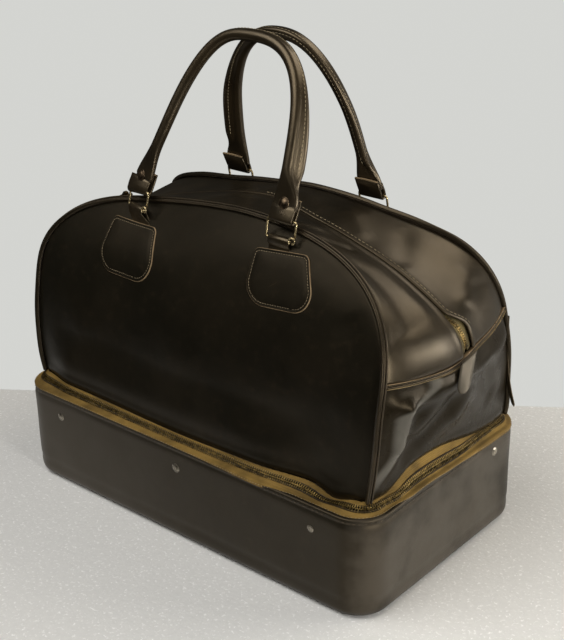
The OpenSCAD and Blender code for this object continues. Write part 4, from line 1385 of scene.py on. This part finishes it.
def painted_crest_highlight(m, color, cloud, tone):
    """Painted highlight: colour greyed on the crest of the right end's fold, which bends forwards below and
    back above, where the fold would catch the light.
    """
    z = m.axis("Z")
    bend = m.math("ADD", m.ramp(z, 0.110, 0.150, -0.022, 0.0), m.ramp(z, 0.178, 0.198, 0.0, 0.034))
    off = m.math("ABSOLUTE", m.math("SUBTRACT", m.math("ADD", m.axis("Y"), 0.080), bend))
    crest = m.times(m.ramp(off, 0.0015, 0.0095, 1.0, 0.0), m.ramp(m.axis("X"), 0.150, 0.190))
    crest = m.times(crest, m.ramp(z, 0.106, 0.135, 0.25, 1.0))
    share = m.times(crest, m.ramp(cloud, 0.2, 0.6, 0.5, 1.0))
    return m.mix(share, color, (tone, tone * 0.94, tone * 0.80))


def leather(name, dark, light, rough, shine, wear=0.25, sheen_and_dust=0.0, crest_highlight=0.0):
    """Smooth waxed hide: cloudy colour, fine pores, soft dents, a few scuffs and worn ridges, and where asked
    a painted sheen partly of dust and a painted highlight on a fold's crest.
    """
    m = Nodes(name)
    cloud = m.noise(14, 4, 0.6)
    fine = m.noise(120, 4, 0.6)
    cells = m.add("TexVoronoi", {"Vector": m.place, "Scale": 1100}, feature="DISTANCE_TO_EDGE")
    scuffs = m.ramp(m.noise(240, 2, 0.5, (1.0, 1.0, 0.06), 0.6), 0.66, 0.74)
    scuffs = m.times(scuffs, m.ramp(m.noise(22, 3, 0.6), 0.5, 0.72))
    color = m.mix(m.ramp(cloud, 0.35, 0.68), dark, light)
    color = m.mix(m.times(m.ramp(fine, 0.5, 0.85), 0.12), color, WORN_HIDE)
    color = m.mix(m.times(scuffs, 0.15), color, WORN_HIDE)
    if sheen_and_dust:
        color = painted_sheen_and_dust(m, color, cloud, sheen_and_dust)
    if crest_highlight:
        color = painted_crest_highlight(m, color, cloud, crest_highlight)
    color = m.mix(m.times(m.worn(0.52, 0.6), wear), color, WORN_HIDE)
    roughness = m.ramp(m.noise(35, 4, 0.6), 0.3, 0.75, rough - 0.03, rough + 0.05)
    normal = m.bump(m.noise(48, 2, 0.5), 0.13, 0.0012)
    normal = m.bump(m.ramp(cells.outputs["Distance"], 0.0, 0.12), 0.11, 0.00025, normal)
    normal = m.bump(m.noise(420, 3, 0.6), 0.125, 0.0003, normal)
    return m.finish(Base_Color=color, Roughness=roughness, Normal=normal, Specular_IOR_Level=shine,
                    Specular_Tint=(0.86, 0.68, 0.44, 1.0))


def woven(name, dark, light):
    """Woven tape: fine ribs with a soft worn sheen."""
    m = Nodes(name)
    inputs = {"Vector": m.place, "Scale": RIB_SCALE, "Distortion": 1.2, "Detail": 1.0, "Detail Scale": 2.0}
    ribs = m.add("TexWave", inputs, wave_type="BANDS", bands_direction="Z").outputs["Fac"]
    yarn = m.noise(900, 2, 0.5)
    color = m.mix(m.ramp(m.noise(30, 4, 0.6), 0.3, 0.7), dark, light)
    color = m.mix(m.times(yarn, 0.35), color, dark)
    normal = m.bump(m.math("ADD", ribs, yarn), 0.5, 0.0004)
    return m.finish(Base_Color=color, Roughness=0.7, Normal=normal, Sheen_Weight=0.06,
                    Specular_IOR_Level=0.2)


def metal(name, dark, light, rough):
    """Old cast or drawn metal with tarnish in its hollows."""
    m = Nodes(name)
    tarnish = m.ramp(m.noise(260, 4, 0.65), 0.35, 0.7)
    color = m.mix(tarnish, dark, light)
    color = m.mix(m.times(m.worn(0.5, 0.62), 0.4), color, [min(1.0, c * 1.5) for c in light])
    roughness = m.ramp(m.noise(500, 3, 0.6), 0.3, 0.7, rough - 0.08, rough + 0.16)
    normal = m.bump(m.noise(800, 3, 0.6), 0.2, 0.0002)
    return m.finish(Base_Color=color, Roughness=roughness, Normal=normal, Metallic=0.9)


def plain(name, dark, light, scale, rough, bump=0.3):
    """Matt material of one cloudy colour with a fine texture: thread, board, cloth or cut edges."""
    m = Nodes(name)
    color = m.mix(m.ramp(m.noise(scale / 12, 4, 0.6), 0.3, 0.7), dark, light)
    normal = m.bump(m.noise(scale, 4, 0.65), bump, 0.0004)
    return m.finish(Base_Color=color, Roughness=rough, Normal=normal)


# Panel, body and gusset hides stand for one leather: the panel's copy is darker and far less shiny, partly
# cleaner leather and partly painted shade; the gusset's copy is less shiny and holds a painted highlight on
# its fold
PANEL_HIDE = leather("panel_hide", (0.0075, 0.0066, 0.0043), (0.0120, 0.0098, 0.0062), 0.34, 0.16)
BODY_HIDE = leather("body_hide", (0.0085, 0.0070, 0.0044), (0.0150, 0.0115, 0.0068), 0.33, 0.62)
GUSSET_HIDE = leather("gusset_hide", (0.0100, 0.0080, 0.0048), (0.0130, 0.0098, 0.0054), 0.28, 0.15,
                      crest_highlight=0.12)
# Base hide with a painted sheen, partly dust, greyed over its left part and right side
BASE_HIDE = leather("base_hide", (0.0048, 0.0043, 0.0030), (0.0090, 0.0077, 0.0052), 0.42, 0.5, 0.3,
                    sheen_and_dust=0.048)
# End tabs in a pale grey hide: a painted reflection
TAB_HIDE_PAINTED_REFLECTION = leather("tab_hide_painted_reflection", (0.038, 0.036, 0.030), (0.070, 0.065, 0.054), 0.40, 0.5)
TRIM_HIDE = leather("trim_hide", (0.0095, 0.0074, 0.0044), (0.0210, 0.0150, 0.0080), 0.30, 0.95, 0.3)
EDGE = plain("cut_edge", (0.16, 0.105, 0.05), (0.30, 0.21, 0.11), 700, 0.75)
SEAM_EDGE = plain("seam_edge", (0.14, 0.098, 0.040), (0.32, 0.230, 0.100), 700, 0.75)
WORN_EDGE = plain("worn_edge", (0.028, 0.020, 0.011), (0.085, 0.060, 0.032), 700, 0.7)
THREAD = plain("thread", (0.24, 0.185, 0.11), (0.42, 0.335, 0.20), 1500, 0.8)
DARK_THREAD = plain("dark_thread", (0.035, 0.026, 0.016), (0.10, 0.070, 0.038), 1500, 0.8)
TAPE = woven("zip_tape", (0.110, 0.066, 0.013), (0.29, 0.178, 0.040))
# Zip cords in near-black: real cords, darkened as painted shade between the teeth
SHADED_CORD_WEAVE = woven("zip_cord_painted_shade", (0.014, 0.009, 0.003), (0.050, 0.031, 0.009))
TOP_TAPE = woven("top_zip_tape", (0.058, 0.043, 0.013), (0.160, 0.120, 0.040))
BRASS = metal("antique_brass", (0.016, 0.011, 0.004), (0.150, 0.100, 0.030), 0.34)
OLD_BRASS = metal("dark_brass", (0.015, 0.011, 0.005), (0.070, 0.048, 0.020), 0.40)
PALE_BRASS = metal("pale_brass", (0.25, 0.19, 0.09), (0.60, 0.49, 0.28), 0.28)
BRONZE = metal("bronze_rivet", (0.030, 0.020, 0.012), (0.13, 0.092, 0.055), 0.32)
STEEL = metal("dull_stud", (0.12, 0.105, 0.080), (0.42, 0.38, 0.31), 0.30)
BOARD = plain("fibre_board", (0.22, 0.18, 0.12), (0.36, 0.30, 0.21), 500, 0.85)
CLOTH = plain("lining_cloth", (0.11, 0.085, 0.055), (0.20, 0.16, 0.11), 900, 0.9, 0.6)


# Pieces of the base

dress(base_skin(BASE_HIDE), "base", "leather", "base_wall", "base_bottom", "base_rim_binding")
dress(lining(CLOTH), "base", "cloth", "base_lining")
folded, tape_seam = lower_tape("lower_tape", TAPE)
dress(folded, "base", "tape", "base_tape_lower")
tape_out = tape_seam * [1, 1, 0] + [0, 0, 60]
dress(stitches("tape_thread", tape_seam, tape_out, THREAD, *TAPE_STITCHES), "base", "edge_leather")
dress(tape_cord("lower_tape_cord", -MID_GAP, SHADED_CORD_WEAVE), "base", "tape")
dress(zip_teeth("lower_teeth", True, BRASS), "base", "brass", "base_teeth_lower")
dress_bent(hinge_leather(BODY_HIDE), "base", "upper_body", (0, 0.111, 0.095), (0, 0.101, 0.104),
           "leather", "rear_hinge_strip")

# Pieces of the upper body
dress(upper_tape("upper_tape", TAPE), "upper_body", "tape", "base_tape_upper")
dress(tape_cord("upper_tape_cord", MID_GAP, SHADED_CORD_WEAVE), "upper_body", "tape")
dress(zip_teeth("upper_teeth", False, BRASS), "upper_body", "brass", "base_teeth_upper")

for side, word in SIDES:
    dress(panel_skin(f"{word}_panel_skin", side, PANEL_HIDE), "upper_body", "leather", f"{word}_panel")

for side, word in ENDS:
    dress(gusset(f"{word}_gusset_skin", side, GUSSET_HIDE), "upper_body", "leather", f"{word}_gusset")

for side, word in ENDS:
    seam = side_seam(f"{word}_side_seam", side)
    dress(seam, "upper_body", "edge_leather", f"{word}_seam_binding")

for side, word in SIDES:
    seam = piping(f"{word}_piping_seam", side, BODY_HIDE, WORN_EDGE)
    dress(seam, "upper_body", "leather", f"{word}_piping")

END_U = 0.985
for side, word in SIDES:
    flap = f"{word}_flap"
    for sign, hand in HANDS:
        u0, u1 = sorted((0.0, sign * END_U))
        rims = (True, True, sign < 0, sign > 0)
        piece = roof_skin(f"{word}_{hand}_roof_skin", side, u0, u1, BODY_HIDE, rims)
        dress_bent(piece, "upper_body", flap, *roof_bend(sign), "leather", f"roof_{word}_{hand}", flap)

MOUTH_U = BEND_U * math.radians(17) / BEND_A
MOUTH_GAP_U = 0.003
for side, word in SIDES:
    flap = f"{word}_flap"
    tape = top_tape(f"{word}_top_tape_mid", -MOUTH_U, MOUTH_U, side, TOP_TAPE)
    teeth = top_teeth(f"{word}_top_teeth_mid", -MOUTH_U, MOUTH_U, side, 0.9, BRASS)
    dress(tape, flap, "tape", f"top_tape_{word}")
    dress(teeth, flap, "brass", f"top_teeth_{word}")
    for sign, hand in HANDS:
        u0, u1 = sorted((sign * (MOUTH_U + MOUTH_GAP_U), sign * END_U))
        tape = top_tape(f"{word}_top_tape_{hand}", u0, u1, side, TOP_TAPE)
        teeth = top_teeth(f"{word}_top_teeth_{hand}", u0, u1, side, 0.0, BRASS)
        dress(tape, "upper_body", "tape", "top_tape_ends")
        dress(teeth, "upper_body", "brass", "top_teeth_ends")

# Shift, rise, turn in degrees, skew and height of the patches that differ from the solids
PATCH_SET = {("front", "right"): (1.0, 6.5, 4, 0.24, 0.88), ("front", "left"): (-1.0, -1.4, -2, 0.16, 1.08)}
for side, word in SIDES:
    for sign, hand in HANDS:
        name = f"{word}_{hand}"
        shift, rise, turn, skew, tall = PATCH_SET.get((word, hand), (0, 0, 0, 0, 1))
        form = (rise, math.radians(turn), skew, tall)
        skin, row = patch(f"{name}_patch_skin", sign * PATCH_X + shift, side, PANEL_HIDE, EDGE, THREAD, *form)
        dress(skin, "upper_body", "leather", f"{name}_patch")
        dress(row, "upper_body", "edge_leather")
        x = END_X[side][sign > 0]
        top = PATCH_TOP + rise + (tall - 1) * PATCH_H / 2
        strip = chape(f"{name}_chape_loop", x, side, top, TRIM_HIDE)
        loop = wire_ring(f"{name}_wire_ring", x, side, PALE_BRASS)
        dress(strip, "upper_body", "leather", f"{name}_chape")
        dress(loop, f"{word}_rings", "brass", f"{name}_ring")
    name = f"{word}_handle"
    cover, row = handle(f"{word}_rolled_handle", side, TRIM_HIDE, EDGE, THREAD)
    dress(cover, name, "leather", name)
    dress(row, name, "edge_leather")
    dress(handle_core(f"{name}_cord", side, CLOTH), name, "cloth", f"{name}_core")
    dress(rivets(f"{name}_rivet_heads", side, BRONZE), name, "brass", f"{name}_rivets")

for sign, word in ENDS:
    tab = rounded_tab(f"{word}_end_tab_skin", TAB_HIDE_PAINTED_REFLECTION, TAB_W, TAB_L, TAB_T, end_tab_place(sign))
    dress(tab, f"{word}_end_tab", "leather", f"{word}_end_tab")

strap = rounded_tab("rear_strap_skin", TRIM_HIDE, STRAP_W, STRAP_L, STRAP_T, strap_place,
                    rows=40, cols=7, foot=1.6)
dress(strap, "rear_strap", "leather", "rear_strap")

dress(divider(BODY_HIDE), "upper_body", "leather", "divider_panel")

# Stitching
u = np.linspace(0.02, 0.93, 160)
line = settle(roof_point(u, slot_at(u, 1) + 3.4, 2.5))
row = stitches("ridge_thread", line, (0.2, 0, 1), THREAD, *RIDGE_STITCHES)
dress_bent(row, "upper_body", "back_flap", *roof_bend(1), "edge_leather")

ring, normal = plan_ring(0.0)
rim = np.column_stack([ring + normal * 0.1, np.full(len(ring), RIM_Z - 3.2)])
rim_out = np.column_stack([normal, np.full(len(ring), 0.2)])
dress(stitches("rim_thread", rim, rim_out, DARK_THREAD, *RIM_STITCHES), "base", "edge_leather")

# Finishes of the solids that stay
KEPT = {
    "base_floor_board": BOARD, "base_wall_board": BOARD, "divider_board": BOARD, "base_studs": STEEL,
    "base_slider": OLD_BRASS, "base_pull": OLD_BRASS, "top_slider": OLD_BRASS, "top_pull": OLD_BRASS,
}
for node, material in KEPT.items():
    obj = frame["nodes"][node]
    obj.data.materials.clear()
    obj.data.materials.append(material)


# Floor, camera and light

# Bearing, height and roll of the camera in degrees
CAM_AZ, CAM_EL, CAM_ROLL = 40.5591, 23.6157, -0.9128
# Its distance in metres, its focal length in picture points and the point that it looks at
CAM_DIST, CAM_F, CAM_TX, CAM_TZ = 1.150, 1249.04, 0.0181078, 0.1754711
PICTURE = (564, 640)

az, el, roll = (math.radians(v) for v in (CAM_AZ, CAM_EL, CAM_ROLL))
back = Vector((math.sin(az) * math.cos(el), -math.cos(az) * math.cos(el), math.sin(el)))
level = Vector((math.cos(az), math.sin(az), 0))
upward = back.cross(level)
right = level * math.cos(roll) + upward * math.sin(roll)
upward = upward * math.cos(roll) - level * math.sin(roll)
target = level * CAM_TX + Vector((0, 0, CAM_TZ))
eye = target + back * CAM_DIST

camera_data = bpy.data.cameras.new("camera")
camera_data.sensor_width = 36
camera_data.lens = CAM_F / PICTURE[1] * camera_data.sensor_width
camera_data.clip_start = 0.05
camera = bpy.data.objects.new("camera", camera_data)
camera.matrix_world = Matrix((
    (right.x, upward.x, back.x, eye.x),
    (right.y, upward.y, back.y, eye.y),
    (right.z, upward.z, back.z, eye.z),
    (0, 0, 0, 1),
))
bpy.context.scene.collection.objects.link(camera)
bpy.context.scene.camera = camera


def on_floor(px, py):
    """Point of the floor behind a place of the picture."""
    way = right * ((px - PICTURE[0] / 2) / CAM_F) + upward * ((PICTURE[1] / 2 - py) / CAM_F) - back
    return eye + way * (-eye.z / way.z)


# The floor reaches little further than the picture, as a small table would
FLOOR_DROP = 0.0004
FLOOR_CORNERS = ((-400, 376), (-180, 420), (-110, 700), (300, 860), (1000, 760), (964, 420))
corners = [on_floor(*place) for place in FLOOR_CORNERS]
floor_mesh = bpy.data.meshes.new("floor")
floor_mesh.from_pydata([(c.x, c.y, -FLOOR_DROP) for c in corners], [], [tuple(range(len(corners)))])
floor = bpy.data.objects.new("floor", floor_mesh)
bpy.context.scene.collection.objects.link(floor)
m = Nodes("speckled_floor")
specks = m.ramp(m.noise(330, 3, 0.6), 0.56, 0.70)
shade = m.mix(m.noise(170, 3, 0.6), (0.72, 0.72, 0.705), (0.82, 0.82, 0.80))
shade = m.mix(specks, shade, (0.98, 0.98, 0.97))
normal = m.bump(m.noise(260, 3, 0.6), 0.35, 0.0012)
floor_mesh.materials.append(m.finish(Base_Color=shade, Roughness=0.45, Normal=normal))

world = bpy.data.worlds.new("studio")
bpy.context.scene.world = world
world.use_nodes = True
tree = world.node_tree
path_node = tree.nodes.new("ShaderNodeLightPath")
seen = tree.nodes["Background"]
seen.inputs["Color"].default_value = (0.655, 0.66, 0.635, 1)
place = tree.nodes.new("ShaderNodeNewGeometry").outputs["Incoming"]
split = tree.nodes.new("ShaderNodeSeparateXYZ")
tree.links.new(place, split.inputs[0])


def band(value, low, high, start, end):
    """Value that goes from start to end while the input goes from low to high."""
    node = tree.nodes.new("ShaderNodeMapRange")
    tree.links.new(value, node.inputs["Value"])
    for key, number in (("From Min", low), ("From Max", high), ("To Min", start), ("To Max", end)):
        node.inputs[key].default_value = number
    return node.outputs[0]


def times(a, b):
    """Product of two values."""
    node = tree.nodes.new("ShaderNodeMath")
    node.operation = "MULTIPLY"
    tree.links.new(a, node.inputs[0])
    tree.links.new(b, node.inputs[1])
    return node.outputs[0]


# Incoming points at the viewer, so a ray that goes up and back has both values below zero
lit = tree.nodes.new("ShaderNodeBackground")
lit.inputs["Color"].default_value = (1.0, 0.93, 0.82, 1)
low = band(split.outputs["Z"], -0.34, -0.12, 0.0, 1.0)
behind = band(split.outputs["Y"], -0.82, -0.62, 1.0, 0.0)
left = band(split.outputs["X"], 0.2, 0.5, 1.0, 0.0)
glow = times(times(low, behind), left)
tree.links.new(band(glow, 0.0, 1.0, 0.032, 0.30), lit.inputs["Strength"])
choose = tree.nodes.new("ShaderNodeMixShader")
tree.links.new(path_node.outputs["Is Camera Ray"], choose.inputs[0])
tree.links.new(lit.outputs[0], choose.inputs[1])
tree.links.new(seen.outputs[0], choose.inputs[2])
tree.links.new(choose.outputs[0], tree.nodes["World Output"].inputs["Surface"])


def lamp(name, place, aim, size, power, color):
    """Rectangular lamp at a place in metres, aimed at another."""
    data = bpy.data.lights.new(name, "AREA")
    data.shape = "RECTANGLE"
    data.size, data.size_y = size
    data.energy = power
    data.color = color
    obj = bpy.data.objects.new(name, data)
    obj.location = place
    obj.rotation_euler = (Vector(aim) - Vector(place)).to_track_quat("-Z", "Y").to_euler()
    bpy.context.scene.collection.objects.link(obj)


lamp("top_back", (0.42, 0.76, 1.22), (0.1, 0, 0.2), (0.9, 0.7), 6.5, (1.0, 0.92, 0.80))
lamp("top_front", (-0.35, -0.9, 1.5), (-0.1, -0.2, 0), (1.5, 1.2), 22, (1.0, 0.98, 0.95))
lamp("right_window", (1.15, 0.75, 0.36), (0.1, 0, 0.12), (0.6, 0.45), 8, (1.0, 0.97, 0.92))
lamp("right_strip", (1.45, -0.4, 0.5), (0.1, 0, 0.15), (0.25, 0.5), 7, (1.0, 0.98, 0.95))

lamp("right_low", (1.5, -0.38, 0.17), (0.2, 0, 0.15), (0.2, 0.25), 4, (1.0, 0.98, 0.95))

bpy.context.scene.view_settings.view_transform = "Standard"
